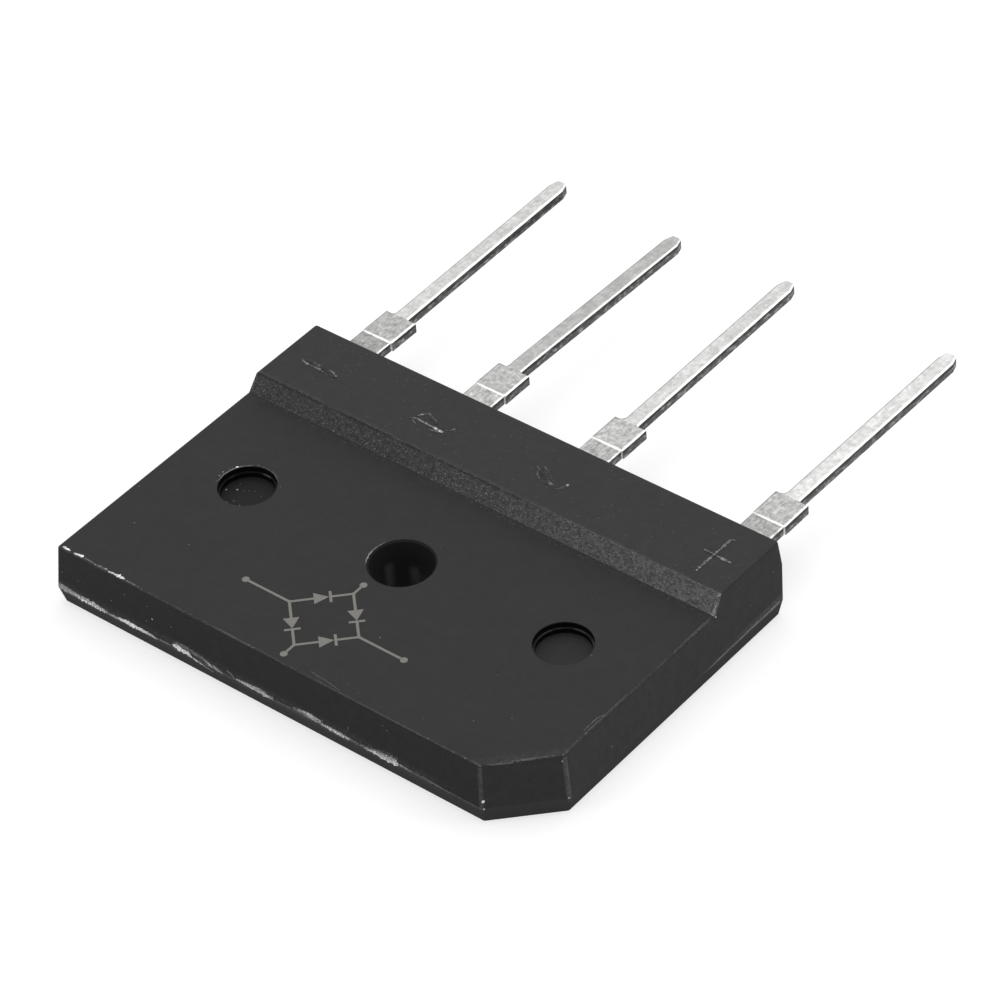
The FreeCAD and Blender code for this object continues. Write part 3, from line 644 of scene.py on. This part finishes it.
def inset_at(z):
    """How far a wall stands in from the parting line at a height."""
    if z > PARTING_Z:
        return (z - PARTING_Z) * UPPER_SLOPE
    return (PARTING_Z - z) * LOWER_SLOPE


def on_chamfer(share, z):
    """Along the chamfer's wall, 0 at the front corner and 1 at the right corner."""
    inset = inset_at(z)
    start = Vector((body_high.x - CHAMFER, body_low.y + inset, z))
    end = Vector((body_high.x - inset, body_low.y + CHAMFER, z))
    return start.lerp(end, share)


PLATE = Ground(lambda x, y: Vector((x, y, PLATE_Z)), (0, 0, 1))
SIGN = Ground(lambda x, y: Vector((x, y, BAND_Z)), (0, 0, 1), lift=0.03, rest=0.021, ragged=0.75)
RECESS = Ground(lambda x, y: Vector((x, y, RECESS_FLOOR_Z)), (0, 0, 1))
FRONT = Ground(
    lambda x, z: Vector((x, body_low.y + inset_at(z), z)), (0, -1, UPPER_SLOPE), widen=1.2, gain=1.15
)
RIGHT = Ground(lambda y, z: Vector((body_high.x - inset_at(z), y, z)), (1, 0, UPPER_SLOPE))
STEP_SIDE = Ground(lambda y, z: Vector((body_high.x - inset_at(z) - 0.04, y, z)), (1, 0, 1))
CORNERS = Ground(on_chamfer, (1, -1, UPPER_SLOPE))

SINK = 0.03
STRIDE = 0.07
GRAINS = 30
FLECK_SIDES = 7
SCREEN_GAMMA = 2.2

# Each streak: its face, the number of strands (0 is one solid streak) and its stations, which
# are two coordinates on the face, a half width and a screen grey of 0 to 255
STREAKS = [
    # Along the plate's front edge: painted highlights on the rounded edge, with rubbed wear.
    (PLATE, 0, [(-14.53, -8.60, 0.054, 225), (-14.30, -8.61, 0.081, 250), (-13.99, -8.63, 0.0405, 215)]),
    (PLATE, 0, [(-13.76, -8.65, 0.0405, 220), (-13.40, -8.60, 0.081, 250), (-13.17, -8.55, 0.081, 250)]),
    (PLATE, 0, [(-13.10, -8.60, 0.027, 120), (-12.47, -8.65, 0.027, 105)]),
    (PLATE, 2, [(-12.41, -8.67, 0.0405, 140), (-12.00, -8.64, 0.0675, 160), (-11.57, -8.59, 0.0675, 175)]),
    (PLATE, 0, [(-11.47, -8.66, 0.027, 190), (-11.10, -8.64, 0.054, 225), (-10.70, -8.62, 0.0945, 250),
                (-10.37, -8.63, 0.0405, 215)]),
    (PLATE, 3, [(-10.30, -8.66, 0.0405, 130), (-9.40, -8.68, 0.0405, 110)]),
    (PLATE, 5, [(-9.40, -8.69, 0.0405, 95), (-4.60, -8.70, 0.0405, 85), (-3.40, -8.69, 0.0405, 110),
                (2.00, -8.71, 0.03, 82)]),
    (PLATE, 5, [(2.00, -8.71, 0.03, 82), (8.00, -8.72, 0.03, 85), (12.05, -8.73, 0.03, 112)]),
    # Fine scratches near the front edge.
    (PLATE, 0, [(1.30, -8.37, 0.012, 92), (2.30, -8.45, 0.015, 105), (3.38, -8.61, 0.012, 90)]),
    (PLATE, 0, [(1.35, -8.36, 0.01, 84), (2.11, -8.58, 0.01, 80)]),
    # Along the plate's right top edge and the chamfer's top edge: painted highlights.
    (PLATE, 2, [(14.63, -6.00, 0.05, 84), (14.62, -4.00, 0.06, 100), (14.62, 4.80, 0.04, 80)]),
    (PLATE, 4, [(14.66, 2.60, 0.06, 85), (14.64, 4.20, 0.12, 95), (14.62, 5.50, 0.12, 115)]),
    (PLATE, 5, [(14.45, -4.10, 0.05, 95), (14.45, -3.10, 0.12, 105), (14.62, -2.75, 0.05, 95)]),
    (PLATE, 6, [(12.15, -8.45, 0.18, 84), (13.40, -7.25, 0.2, 88), (14.45, -6.10, 0.12, 86)]),
    # Along the parting line on the front and right walls: painted highlights on the crease, with rubbed
    # wear.
    (FRONT, 12, [(-14.88, 1.12, 0.17, 190), (-14.50, 1.08, 0.17, 195), (-14.10, 1.05, 0.14, 205),
                 (-13.55, 1.03, 0.09, 220)]),
    (FRONT, 0, [(-14.90, 1.07, 0.11, 150), (-14.40, 1.05, 0.12, 165), (-13.70, 1.03, 0.10, 190)]),
    (FRONT, 0, [(-13.90, 1.03, 0.06, 215), (-13.30, 1.02, 0.10, 245), (-12.91, 1.02, 0.12, 250),
                (-12.31, 1.00, 0.10, 245), (-11.74, 0.94, 0.08, 220)]),
    (FRONT, 8, [(-13.60, 1.08, 0.08, 170), (-12.60, 1.06, 0.10, 180), (-11.60, 0.98, 0.10, 190)]),
    (FRONT, 6, [(-11.80, 0.94, 0.08, 195), (-11.31, 0.91, 0.10, 200), (-10.85, 0.92, 0.08, 195)]),
    (FRONT, 0, [(-10.95, 0.96, 0.05, 205), (-10.50, 0.98, 0.10, 250), (-10.11, 0.99, 0.10, 250),
                (-9.44, 1.01, 0.08, 242), (-8.80, 0.98, 0.06, 228), (-8.29, 0.93, 0.03, 180)]),
    (FRONT, 3, [(-8.30, 0.98, 0.05, 130), (-7.34, 1.00, 0.05, 140)]),
    (FRONT, 0, [(-7.30, 1.10, 0.06, 235), (-7.10, 1.12, 0.12, 255), (-6.59, 1.06, 0.10, 250),
                (-6.23, 1.03, 0.08, 240), (-5.73, 0.88, 0.06, 220), (-5.31, 0.74, 0.04, 190),
                (-4.74, 0.58, 0.02, 150)]),
    (FRONT, 8, [(-7.20, 1.32, 0.10, 115), (-6.13, 1.32, 0.16, 125), (-5.00, 1.20, 0.12, 115)]),
    (FRONT, 3, [(-5.25, 1.20, 0.07, 200), (-4.95, 1.08, 0.10, 235), (-4.70, 0.97, 0.07, 200)]),
    (FRONT, 3, [(-4.70, 1.08, 0.07, 200), (-4.41, 1.00, 0.10, 230), (-4.10, 0.94, 0.06, 190)]),
    (FRONT, 0, [(-3.81, 1.28, 0.02, 110), (-3.49, 1.20, 0.03, 120), (-3.28, 1.03, 0.02, 110)]),
    (FRONT, 0, [(-3.20, 1.05, 0.03, 170), (-2.54, 1.03, 0.07, 225), (-1.90, 1.00, 0.06, 215),
                (-1.39, 1.00, 0.08, 210), (-0.90, 0.97, 0.03, 180)]),
    (FRONT, 9, [(-3.00, 1.06, 0.06, 200), (-1.95, 1.07, 0.12, 205), (-1.39, 1.05, 0.16, 215),
                (-0.79, 1.00, 0.10, 190)]),
    (FRONT, 2, [(-0.70, 0.98, 0.04, 105), (0.84, 1.04, 0.05, 115)]),
    (FRONT, 9, [(0.45, 1.12, 0.06, 150), (1.10, 1.16, 0.13, 215), (1.67, 1.15, 0.16, 225),
                (2.35, 1.10, 0.14, 205)]),
    (FRONT, 0, [(1.20, 1.18, 0.03, 200), (1.50, 1.20, 0.05, 235), (1.75, 1.12, 0.03, 215)]),
    (FRONT, 0, [(2.20, 1.03, 0.04, 205), (2.80, 1.03, 0.07, 235), (3.40, 1.01, 0.08, 235),
                (4.00, 1.00, 0.05, 200)]),
    (FRONT, 5, [(2.30, 1.06, 0.08, 190), (3.40, 1.04, 0.12, 200), (4.20, 1.04, 0.09, 165),
                (5.20, 1.02, 0.09, 160)]),
    (FRONT, 2, [(3.90, 1.45, 0.02, 95), (3.95, 1.75, 0.02, 88)]),
    (FRONT, 0, [(4.90, 0.97, 0.04, 180), (5.64, 1.01, 0.09, 225), (6.14, 1.03, 0.12, 235),
                (6.63, 1.05, 0.14, 225), (7.02, 1.05, 0.14, 215)]),
    (FRONT, 9, [(5.00, 1.03, 0.12, 160), (5.80, 1.12, 0.18, 175), (6.50, 1.16, 0.22, 180),
                (7.00, 1.14, 0.22, 175)]),
    (FRONT, 0, [(7.05, 1.08, 0.05, 170), (7.88, 1.02, 0.03, 125)]),
    (FRONT, 4, [(7.12, 1.08, 0.04, 105), (8.28, 1.08, 0.05, 112), (9.16, 1.00, 0.05, 130),
                (10.50, 0.97, 0.04, 110), (11.97, 0.97, 0.04, 110)]),
    (RIGHT, 3, [(4.48, 0.96, 0.06, 130), (7.00, 0.99, 0.06, 150), (10.03, 1.00, 0.06, 185)]),
    (RIGHT, 0, [(5.20, 0.98, 0.02, 85), (7.20, 0.97, 0.03, 95), (8.80, 1.01, 0.03, 105),
                (9.60, 0.98, 0.05, 130), (10.40, 1.00, 0.04, 130)]),
    # A mark on the side of the step.
    (STEP_SIDE, 2, [(5.60, 3.50, 0.05, 130), (5.90, 3.92, 0.05, 115), (6.20, 4.36, 0.05, 100)]),
    # On the signs' rims: painted highlights, with rubbed wear.
    (SIGN, 0, [(-13.44, 8.38, 0.03, 110), (-13.38, 8.26, 0.04, 120), (-13.13, 8.18, 0.06, 170),
               (-12.80, 8.17, 0.03, 115), (-12.20, 8.20, 0.05, 130), (-11.85, 8.12, 0.03, 110)]),
    (SIGN, 0, [(-11.62, 8.09, 0.02, 85), (-11.50, 8.06, 0.04, 105)]),
    (SIGN, 0, [(-12.82, 8.45, 0.04, 108), (-12.50, 8.42, 0.03, 90), (-12.25, 8.40, 0.04, 108)]),
    (SIGN, 0, [(-11.80, 8.42, 0.03, 95), (-11.46, 8.40, 0.05, 135), (-11.25, 8.30, 0.03, 100),
               (-11.10, 8.22, 0.05, 140)]),
    (SIGN, 0, [(-5.88, 7.90, 0.03, 130), (-5.60, 8.04, 0.04, 130), (-5.20, 7.98, 0.04, 145),
               (-4.64, 7.96, 0.05, 170), (-4.15, 7.92, 0.05, 190), (-3.93, 7.90, 0.07, 245)]),
    (SIGN, 0, [(-5.70, 8.18, 0.04, 115), (-5.62, 8.36, 0.05, 150), (-5.34, 8.65, 0.04, 130),
               (-4.95, 8.52, 0.03, 95), (-4.60, 8.39, 0.03, 85)]),
    (SIGN, 0, [(-5.74, 7.82, 0.02, 110), (-5.40, 7.68, 0.04, 135)]),
    (SIGN, 0, [(-4.70, 7.68, 0.02, 110), (-4.40, 7.72, 0.03, 120), (-3.95, 7.84, 0.03, 115)]),
    (SIGN, 0, [(-3.90, 8.10, 0.03, 108), (-3.62, 8.24, 0.02, 95), (-3.49, 8.50, 0.04, 130)]),
    (SIGN, 0, [(1.58, 8.62, 0.03, 90), (1.90, 8.44, 0.03, 95), (2.00, 8.10, 0.04, 100),
               (2.30, 7.92, 0.03, 95), (2.50, 7.82, 0.05, 105)]),
    (SIGN, 0, [(1.94, 8.79, 0.04, 108), (2.25, 8.62, 0.03, 95)]),
    (SIGN, 0, [(2.85, 7.98, 0.05, 110), (3.04, 7.90, 0.06, 120), (3.26, 7.94, 0.05, 108)]),
    (SIGN, 0, [(3.30, 7.74, 0.03, 90), (3.60, 7.86, 0.03, 98), (3.70, 8.22, 0.04, 110)]),
    (SIGN, 0, [(12.70, 6.92, 0.06, 132), (12.71, 7.70, 0.055, 125), (12.71, 8.30, 0.05, 118)]),
    (SIGN, 0, [(12.72, 8.40, 0.05, 115), (12.74, 9.20, 0.06, 122), (12.75, 9.66, 0.05, 118)]),
    (SIGN, 0, [(12.78, 9.70, 0.04, 112), (12.98, 9.70, 0.05, 124)]),
    (SIGN, 0, [(12.14, 8.37, 0.06, 130), (12.65, 8.35, 0.045, 112)]),
    (SIGN, 0, [(12.77, 8.33, 0.05, 118), (13.30, 8.31, 0.06, 128), (13.71, 8.29, 0.065, 150)]),
    # Painted highlight on the hole's rim.
    (PLATE, 0, [(-1.38, -1.11, 0.02, 95), (-1.56, -0.83, 0.03, 130), (-1.70, -0.49, 0.035, 155),
                (-1.77, -0.06, 0.03, 130), (-1.74, 0.34, 0.03, 110), (-1.59, 0.78, 0.02, 95)]),
    # On the left recess's rim: painted highlights, with rubbed wear.
    (PLATE, 0, [(-11.47, -0.53, 0.025, 98), (-11.56, 0.00, 0.035, 112), (-11.47, 0.53, 0.035, 118),
                (-11.20, 1.00, 0.03, 110), (-10.78, 1.35, 0.025, 98)]),
    (PLATE, 2, [(-10.27, 1.56, 0.03, 92), (-9.50, 1.50, 0.03, 100), (-8.90, 1.12, 0.03, 94)]),
]

# Each group of flecks: their face, radius, screen grey and places
FLECKS = [
    # Near-black flecks in the signs: painted shade.
    (SIGN, 0.080, 5, [(-4.95, 8.32), (-4.62, 8.20), (-4.30, 8.10), (-4.75, 8.34), (-4.45, 8.24)]),
    (SIGN, 0.070, 5, [(2.03, 8.52), (2.28, 8.30), (2.42, 8.14), (2.56, 8.02), (1.98, 8.34)]),
    (SIGN, 0.060, 5, [(-12.02, 8.30), (-11.80, 8.26), (-11.62, 8.22), (-12.90, 8.34)]),
    # Pale specks on the plate.
    (PLATE, 0.035, 120, [(-10.18, -8.67), (-9.85, -8.65), (8.83, -8.70), (-12.80, -5.28), (2.54, -4.69)]),
    (PLATE, 0.030, 105, [(-9.48, -4.95), (-14.46, -3.08), (8.82, -3.50), (11.19, -5.40), (9.82, -6.56)]),
    (PLATE, 0.025, 95, [(7.78, -7.79), (2.73, -8.15), (3.38, -8.03), (4.18, -8.22), (13.38, -7.37)]),
    (PLATE, 0.030, 105, [(14.72, -3.23), (14.63, -2.81), (14.70, -5.97)]),
    # Painted highlights on the left recess's rim, then pale specks around the recesses.
    (PLATE, 0.075, 235, [(-11.37, 0.82)]),
    (PLATE, 0.050, 135, [(-11.69, -0.19), (-11.72, 0.12)]),
    (PLATE, 0.035, 108, [(-10.56, 1.49), (-10.30, 1.54), (-11.54, -0.60), (-9.81, -1.24), (-10.04, -1.50)]),
    (PLATE, 0.035, 100, [(-9.34, -1.33), (-11.62, 0.45), (11.62, 0.10), (-9.2, 1.36), (-8.6, 0.9)]),
    # Painted highlights on the left recess's floor, then dim specks in it.
    (RECESS, 0.055, 150, [(-11.20, -0.32), (-10.74, 0.0)]),
    (RECESS, 0.035, 80, [(-10.4, 0.1), (-10.2, 0.25), (-9.9, 0.4), (-9.4, 0.3), (-10.9, 0.4)]),
    # Pale specks and chips on the front and right walls.
    (FRONT, 0.035, 110, [(-14.55, 2.05), (-10.35, 2.72), (-11.29, 1.86), (-8.96, 1.74), (-8.85, 2.70)]),
    (FRONT, 0.035, 100, [(-13.50, 2.01), (-7.32, 2.19), (6.10, 2.94), (6.36, 2.77), (-0.21, 1.26)]),
    (FRONT, 0.045, 165, [(-8.56, 2.06), (-8.06, 1.01), (-7.61, 0.99)]),
    (RIGHT, 0.040, 110, [(8.26, 2.31), (10.22, 3.0), (7.09, 0.99), (4.92, 0.98), (-2.77, 1.68)]),
    (RIGHT, 0.060, 190, [(5.66, 3.46)]),
    # On the chamfer's corners: painted highlights, with rubbed wear.
    (CORNERS, 0.085, 245, [(0.02, 1.42)]),
    (CORNERS, 0.055, 190, [(0.03, 0.97), (0.99, 1.03)]),
    (CORNERS, 0.045, 150, [(0.98, 3.30)]),
    # On the signs: painted highlights, with rubbed wear, then dim specks.
    (SIGN, 0.055, 130, [(12.14, 8.37), (13.71, 8.29), (12.71, 6.94), (12.71, 8.35)]),
    (SIGN, 0.095, 165, [(3.76, 8.32), (-3.93, 7.92)]),
    (SIGN, 0.060, 125, [(3.05, 7.92), (-13.13, 8.20), (-11.10, 8.24), (-5.62, 8.36), (-11.52, 8.40)]),
    (SIGN, 0.035, 92, [(1.53, 8.25), (1.97, 8.47), (2.30, 8.62), (2.11, 8.08), (2.79, 8.07)]),
    (SIGN, 0.030, 88, [(2.97, 8.19), (3.64, 7.77), (3.80, 8.44), (2.31, 8.46), (-5.02, 8.1)]),
]


def paleness(grey):
    """The linear grey of a screen grey."""
    return (grey / 255) ** SCREEN_GAMMA


def add_streak(mesh, pale, ground, points):
    """A thin ragged closed lens along the points."""
    stations = []
    for (first_a, first_b, first_half, first_grey), (a, b, half, grey) in zip(points, points[1:]):
        start = ground.place(first_a, first_b)
        end = ground.place(a, b)
        count = max(1, round((end - start).length / STRIDE))
        for step in range(count):
            share = step / count
            stations.append((
                start.lerp(end, share),
                (end - start).normalized(),
                first_half + (half - first_half) * share,
                first_grey + (grey - first_grey) * share,
            ))
    stations.append((end, stations[-1][1], half, grey))
    rows = []
    for index, (place, way, half, grey) in enumerate(stations):
        side = ground.normal.cross(way).normalized()
        half = half * ground.widen * draw.uniform(1.0 - ground.ragged, 1.0 + ground.ragged)
        shade = paleness(grey) * ground.gain * draw.uniform(1.0 - ground.ragged, 1.05)
        if index in (0, len(stations) - 1):
            half = half * 0.3
        middle = place + side * half * draw.uniform(-0.3, 0.3)
        row = []
        for reach, lift in ((-half, ground.rest), (0, ground.lift), (half, ground.rest), (0, -SINK)):
            vertex = mesh.verts.new((middle + side * reach + ground.normal * lift) * MM)
            vertex[pale] = shade * draw.uniform(0.7, 1.15)
            row.append(vertex)
        rows.append(row)
    for row, following in zip(rows, rows[1:]):
        for i in range(4):
            j = (i + 1) % 4
            mesh.faces.new((row[i], row[j], following[j], following[i]))
    mesh.faces.new(rows[0])
    mesh.faces.new(rows[-1][::-1])


def point_along(points, share):
    """The mark's values at a share of its list of points."""
    spot = share * (len(points) - 1)
    index = min(int(spot), len(points) - 2)
    part = spot - index
    return [one + (two - one) * part for one, two in zip(points[index], points[index + 1])]


def add_strands(mesh, pale, ground, points, count):
    """Several thin streaks scattered over the width of one mark."""
    for _ in range(count):
        start = draw.uniform(0.0, 0.6)
        end = start + draw.uniform(0.25, 0.4)
        offset = draw.uniform(-0.8, 0.8)
        thin = draw.uniform(0.14, 0.3)
        fade = draw.uniform(0.75, 1.0)
        strand_points = []
        for share in (start, (start + end) / 2, end):
            a, b, half, grey = point_along(points, min(share, 1.0))
            strand_points.append((a, b + half * offset, max(0.012, half * thin), grey * fade))
        add_streak(mesh, pale, ground, strand_points)


def add_dust(mesh, pale, ground, points, count):
    """Grains scattered over one mark, paler and denser along its middle."""
    for _ in range(count):
        a, b, half, grey = point_along(points, draw.random())
        spread = draw.gauss(0.0, 0.65)
        radius = draw.uniform(0.014, 0.04)
        shade = grey * draw.uniform(0.55, 1.0) * math.exp(-0.35 * spread * spread)
        add_fleck(mesh, pale, ground, (a, b + spread * half), radius, shade)


def add_fleck(mesh, pale, ground, place, radius, grey):
    """A small ragged fleck, closed below the face; flecks serve as specks and chips and as painted
    highlights and shade.
    """
    middle = ground.place(*place)
    side = ground.normal.orthogonal().normalized()
    other = ground.normal.cross(side)
    ring = []
    for turn in range(FLECK_SIDES):
        angle = math.tau * turn / FLECK_SIDES
        reach = radius * draw.uniform(0.65, 1.25)
        spot = middle + (side * math.cos(angle) + other * math.sin(angle)) * reach
        ring.append(mesh.verts.new((spot + ground.normal * ground.rest) * MM))
    top = mesh.verts.new((middle + ground.normal * (ground.lift + 0.2 * radius)) * MM)
    bottom = mesh.verts.new((middle - ground.normal * SINK) * MM)
    for vertex in (*ring, top, bottom):
        vertex[pale] = paleness(grey) * draw.uniform(0.8, 1.05)
    for one, two in zip(ring, ring[1:] + ring[:1]):
        mesh.faces.new((one, two, top))
        mesh.faces.new((two, one, bottom))


def build_wear_and_painted_light(material):
    mesh = bmesh.new()
    pale = mesh.verts.layers.float.new("pale")
    for ground, strands, points in STREAKS:
        if strands:
            add_strands(mesh, pale, ground, points, strands)
            add_dust(mesh, pale, ground, points, strands * GRAINS)
        else:
            add_streak(mesh, pale, ground, points)
    for ground, radius, grey, places in FLECKS:
        for place in places:
            add_fleck(mesh, pale, ground, place, radius, grey)
    finish_piece("wear_and_painted_light_marks", mesh, material)


# A generic mark where such parts are printed: the circuit symbol of a diode bridge

MARK_CENTRE = Vector((-0.5, -5.25))
MARK_REACH = 2.2
SHORT_LEAD = 0.55
LONG_LEAD = 2.6
TERMINAL = 0.2
MARK_STROKE = 0.14
DIODE_LENGTH = 0.75
DIODE_WIDTH = 0.8
MARK_LIFT = 0.006
TERMINAL_SIDES = 8


def add_tile(mesh, corners):
    """A flat prism that stands a few micrometres out of the plate."""
    levels = (PLATE_Z + MARK_LIFT) * MM, (PLATE_Z - SINK) * MM
    top, low = ([mesh.verts.new((corner.x * MM, corner.y * MM, z)) for corner in corners] for z in levels)
    mesh.faces.new(top)
    mesh.faces.new(low[::-1])
    for i in range(len(corners)):
        j = (i + 1) % len(corners)
        mesh.faces.new((low[i], low[j], top[j], top[i]))


def add_line(mesh, start, end):
    way = (end - start).normalized()
    side = Vector((-way.y, way.x)) * MARK_STROKE / 2
    add_tile(mesh, [start - side, end - side, end + side, start + side])


def build_mark(material):
    """Lines, diodes and corners as tiles that meet without overlapping."""
    mesh = bmesh.new()
    left = MARK_CENTRE + Vector((-MARK_REACH, 0))
    right = MARK_CENTRE + Vector((MARK_REACH, 0))
    low = MARK_CENTRE + Vector((0, -MARK_REACH))
    high = MARK_CENTRE + Vector((0, MARK_REACH))
    gap = MARK_STROKE / 2
    tip = gap * math.sqrt(2.0)
    for start, end in ((left, low), (left, high), (low, right), (high, right)):
        way = (end - start).normalized()
        side = Vector((-way.y, way.x))
        middle = (start + end) / 2
        tail = middle - way * DIODE_LENGTH / 2
        nose = middle + way * DIODE_LENGTH / 2
        add_line(mesh, start + way * gap, tail)
        add_tile(mesh, [tail - side * DIODE_WIDTH / 2, nose, tail + side * DIODE_WIDTH / 2])
        bar = nose + way * MARK_STROKE / 2
        add_line(mesh, bar - side * DIODE_WIDTH / 2, bar + side * DIODE_WIDTH / 2)
        add_line(mesh, nose + way * MARK_STROKE, end - way * gap)
    for corner, lead in ((left, LONG_LEAD), (right, LONG_LEAD), (low, SHORT_LEAD), (high, SHORT_LEAD)):
        way = (corner - MARK_CENTRE).normalized()
        side = Vector((-way.y, way.x))
        neck = corner + way * tip
        base = [corner - way * tip, corner - side * tip]
        add_tile(mesh, base + [neck - side * gap, neck + side * gap, corner + side * tip])
        end = corner + way * lead
        add_line(mesh, neck, end)
        spot = end + way * TERMINAL
        turns = [Matrix.Rotation(math.tau * turn / TERMINAL_SIDES, 2) for turn in range(TERMINAL_SIDES)]
        add_tile(mesh, [spot + turn @ way * TERMINAL for turn in turns])
    finish_piece("diode_bridge_mark", mesh, material)


# The floor, the light and the camera

FLOOR_METRES = 4.0
FLOOR_GAP = 0.005
FLOOR_DIFFUSE = 0.5
FLOOR_GLOW = 0.62
AMBIENT = 0.6


def seen_or_mirrored(tree):
    """1 for rays of the camera, of gloss and of glass, so that they all show the backdrop."""
    path = tree.nodes.new("ShaderNodeLightPath")
    share = Field(tree, path.outputs["Is Camera Ray"])
    for name in ("Is Glossy Ray", "Is Transmission Ray"):
        share = share.larger(Field(tree, path.outputs[name]))
    return share


def build_floor():
    bpy.ops.mesh.primitive_plane_add(size=FLOOR_METRES, location=(0, 0, cad_box[0].z - FLOOR_GAP * MM))
    floor = bpy.context.object
    floor.name = "floor"
    material = bpy.data.materials.new("white_floor")
    material.use_nodes = True
    tree = material.node_tree
    shader = tree.nodes["Principled BSDF"]
    shader.inputs["Base Color"].default_value = (FLOOR_DIFFUSE, FLOOR_DIFFUSE, FLOOR_DIFFUSE, 1)
    shader.inputs["Roughness"].default_value = 1.0
    shader.inputs["Specular IOR Level"].default_value = 0.0
    shader.inputs["Emission Color"].default_value = (1, 1, 1, 1)
    glow = seen_or_mirrored(tree) * FLOOR_GLOW
    tree.links.new(glow.socket, shader.inputs["Emission Strength"])
    floor.data.materials.append(material)


def build_world():
    world = bpy.data.worlds.new("studio")
    world.use_nodes = True
    tree = world.node_tree
    backdrop = tree.nodes["Background"]
    backdrop.inputs["Color"].default_value = (1, 1, 1, 1)
    strength = seen_or_mirrored(tree) * (1 - AMBIENT) + AMBIENT
    tree.links.new(strength.socket, backdrop.inputs["Strength"])
    scene.world = world


def add_lamp(name, azimuth, elevation, distance, size, radiance):
    """A square lamp in metres that looks at the object, as bright as radiance says."""
    data = bpy.data.lights.new(name, "AREA")
    data.shape = "SQUARE"
    data.size = size
    data.energy = radiance * math.pi * size * size
    lamp = bpy.data.objects.new(name, data)
    turn, rise = math.radians(azimuth), math.radians(elevation)
    way = Vector((math.sin(turn) * math.cos(rise), -math.cos(turn) * math.cos(rise), math.sin(rise)))
    lamp.location = way * distance
    lamp.rotation_euler = way.to_track_quat("Z", "Y").to_euler()
    scene.collection.objects.link(lamp)


def build_lamps():
    add_lamp("key", azimuth=200, elevation=75, distance=0.6, size=0.45, radiance=1.6)
    add_lamp("right_strip", azimuth=130, elevation=30, distance=0.6, size=0.3, radiance=1.6)
    add_lamp("front_left", azimuth=-42, elevation=38, distance=0.6, size=0.3, radiance=1.4)


CAMERA_PLACE = (116.471, -121.417, 153.253)
CAMERA_AZIMUTH = 42.104
CAMERA_ELEVATION = 41.008
CAMERA_ROLL = -4.929
CAMERA_LENS = 167.11


def build_camera():
    data = bpy.data.cameras.new("camera")
    data.sensor_width = 36.0
    data.lens = CAMERA_LENS
    data.clip_start = 0.01
    data.clip_end = 10.0
    camera = bpy.data.objects.new("camera", data)
    camera.location = Vector(CAMERA_PLACE) * MM
    turn = Euler((0, 0, math.radians(CAMERA_AZIMUTH))).to_matrix()
    tilt = Euler((math.radians(90 - CAMERA_ELEVATION), 0, 0)).to_matrix()
    roll = Euler((0, 0, math.radians(CAMERA_ROLL))).to_matrix()
    camera.rotation_euler = (turn @ tilt @ roll).to_euler()
    scene.collection.objects.link(camera)
    scene.camera = camera


# Finishes for the carried-over solids

# Each lead: the tones of its narrow part, shoulder and shank, its centre, and the bend of its tip. The
# darker narrow part of lead_ac_1 is painted shade, as that bent lead mirrors less light.
LEADS = {
    "lead_minus": {"tones": (0.72, 0.54, 0.42), "centre": -12.5, "shift": -0.05, "lift": -0.13},
    "lead_ac_1": {"tones": (0.56, 0.57, 0.59), "centre": -5.0, "shift": 0.11, "lift": -0.23},
    "lead_ac_2": {"tones": (0.75, 0.60, 0.52), "centre": 2.5, "shift": -0.03, "lift": 0.06},
    "lead_plus": {"tones": (0.84, 0.56, 0.44), "centre": 12.5, "shift": 0.1, "lift": -0.08},
}


BODY_EDGE = 0.025
METAL_EDGE = 0.02
EDGE_ANGLE = 28
EDGE_SEGMENTS = 2


def dress(names, material, edge_width=None):
    """Gives the solids a material, and rounds their edges where a width is stated."""
    for name in names:
        node = nodes[name]
        node.data.materials.clear()
        node.data.materials.append(material)
        if edge_width is not None:
            bevel = node.modifiers.new("soft_edges", "BEVEL")
            bevel.width = edge_width * MM
            bevel.segments = EDGE_SEGMENTS
            bevel.limit_method = "ANGLE"
            bevel.angle_limit = math.radians(EDGE_ANGLE)
            bevel.harden_normals = False


def names_with(prefix):
    return sorted(name for name in nodes if name.startswith(prefix))


def dress_solids():
    dress(["encapsulant"], epoxy_body(), edge_width=BODY_EDGE)
    for name, looks in LEADS.items():
        dress([name], tin(name, **looks), edge_width=METAL_EDGE)
    dress(names_with("diode_die"), silicon())
    dress(names_with("clip"), copper(), edge_width=METAL_EDGE)
    solder_names = names_with("cathode") + names_with("anode") + names_with("foot")
    dress(solder_names, solder())


def build_signs(material):
    for name, (bevel, outline) in SIGNS.items():
        build_sign(name, bevel, outline, material)


dress_solids()
build_signs(epoxy_sign())
build_wear_and_painted_light(wear_and_painted_light_epoxy())
build_mark(laser_mark())
build_floor()
build_world()
build_lamps()
build_camera()
scene.view_settings.view_transform = "Standard"
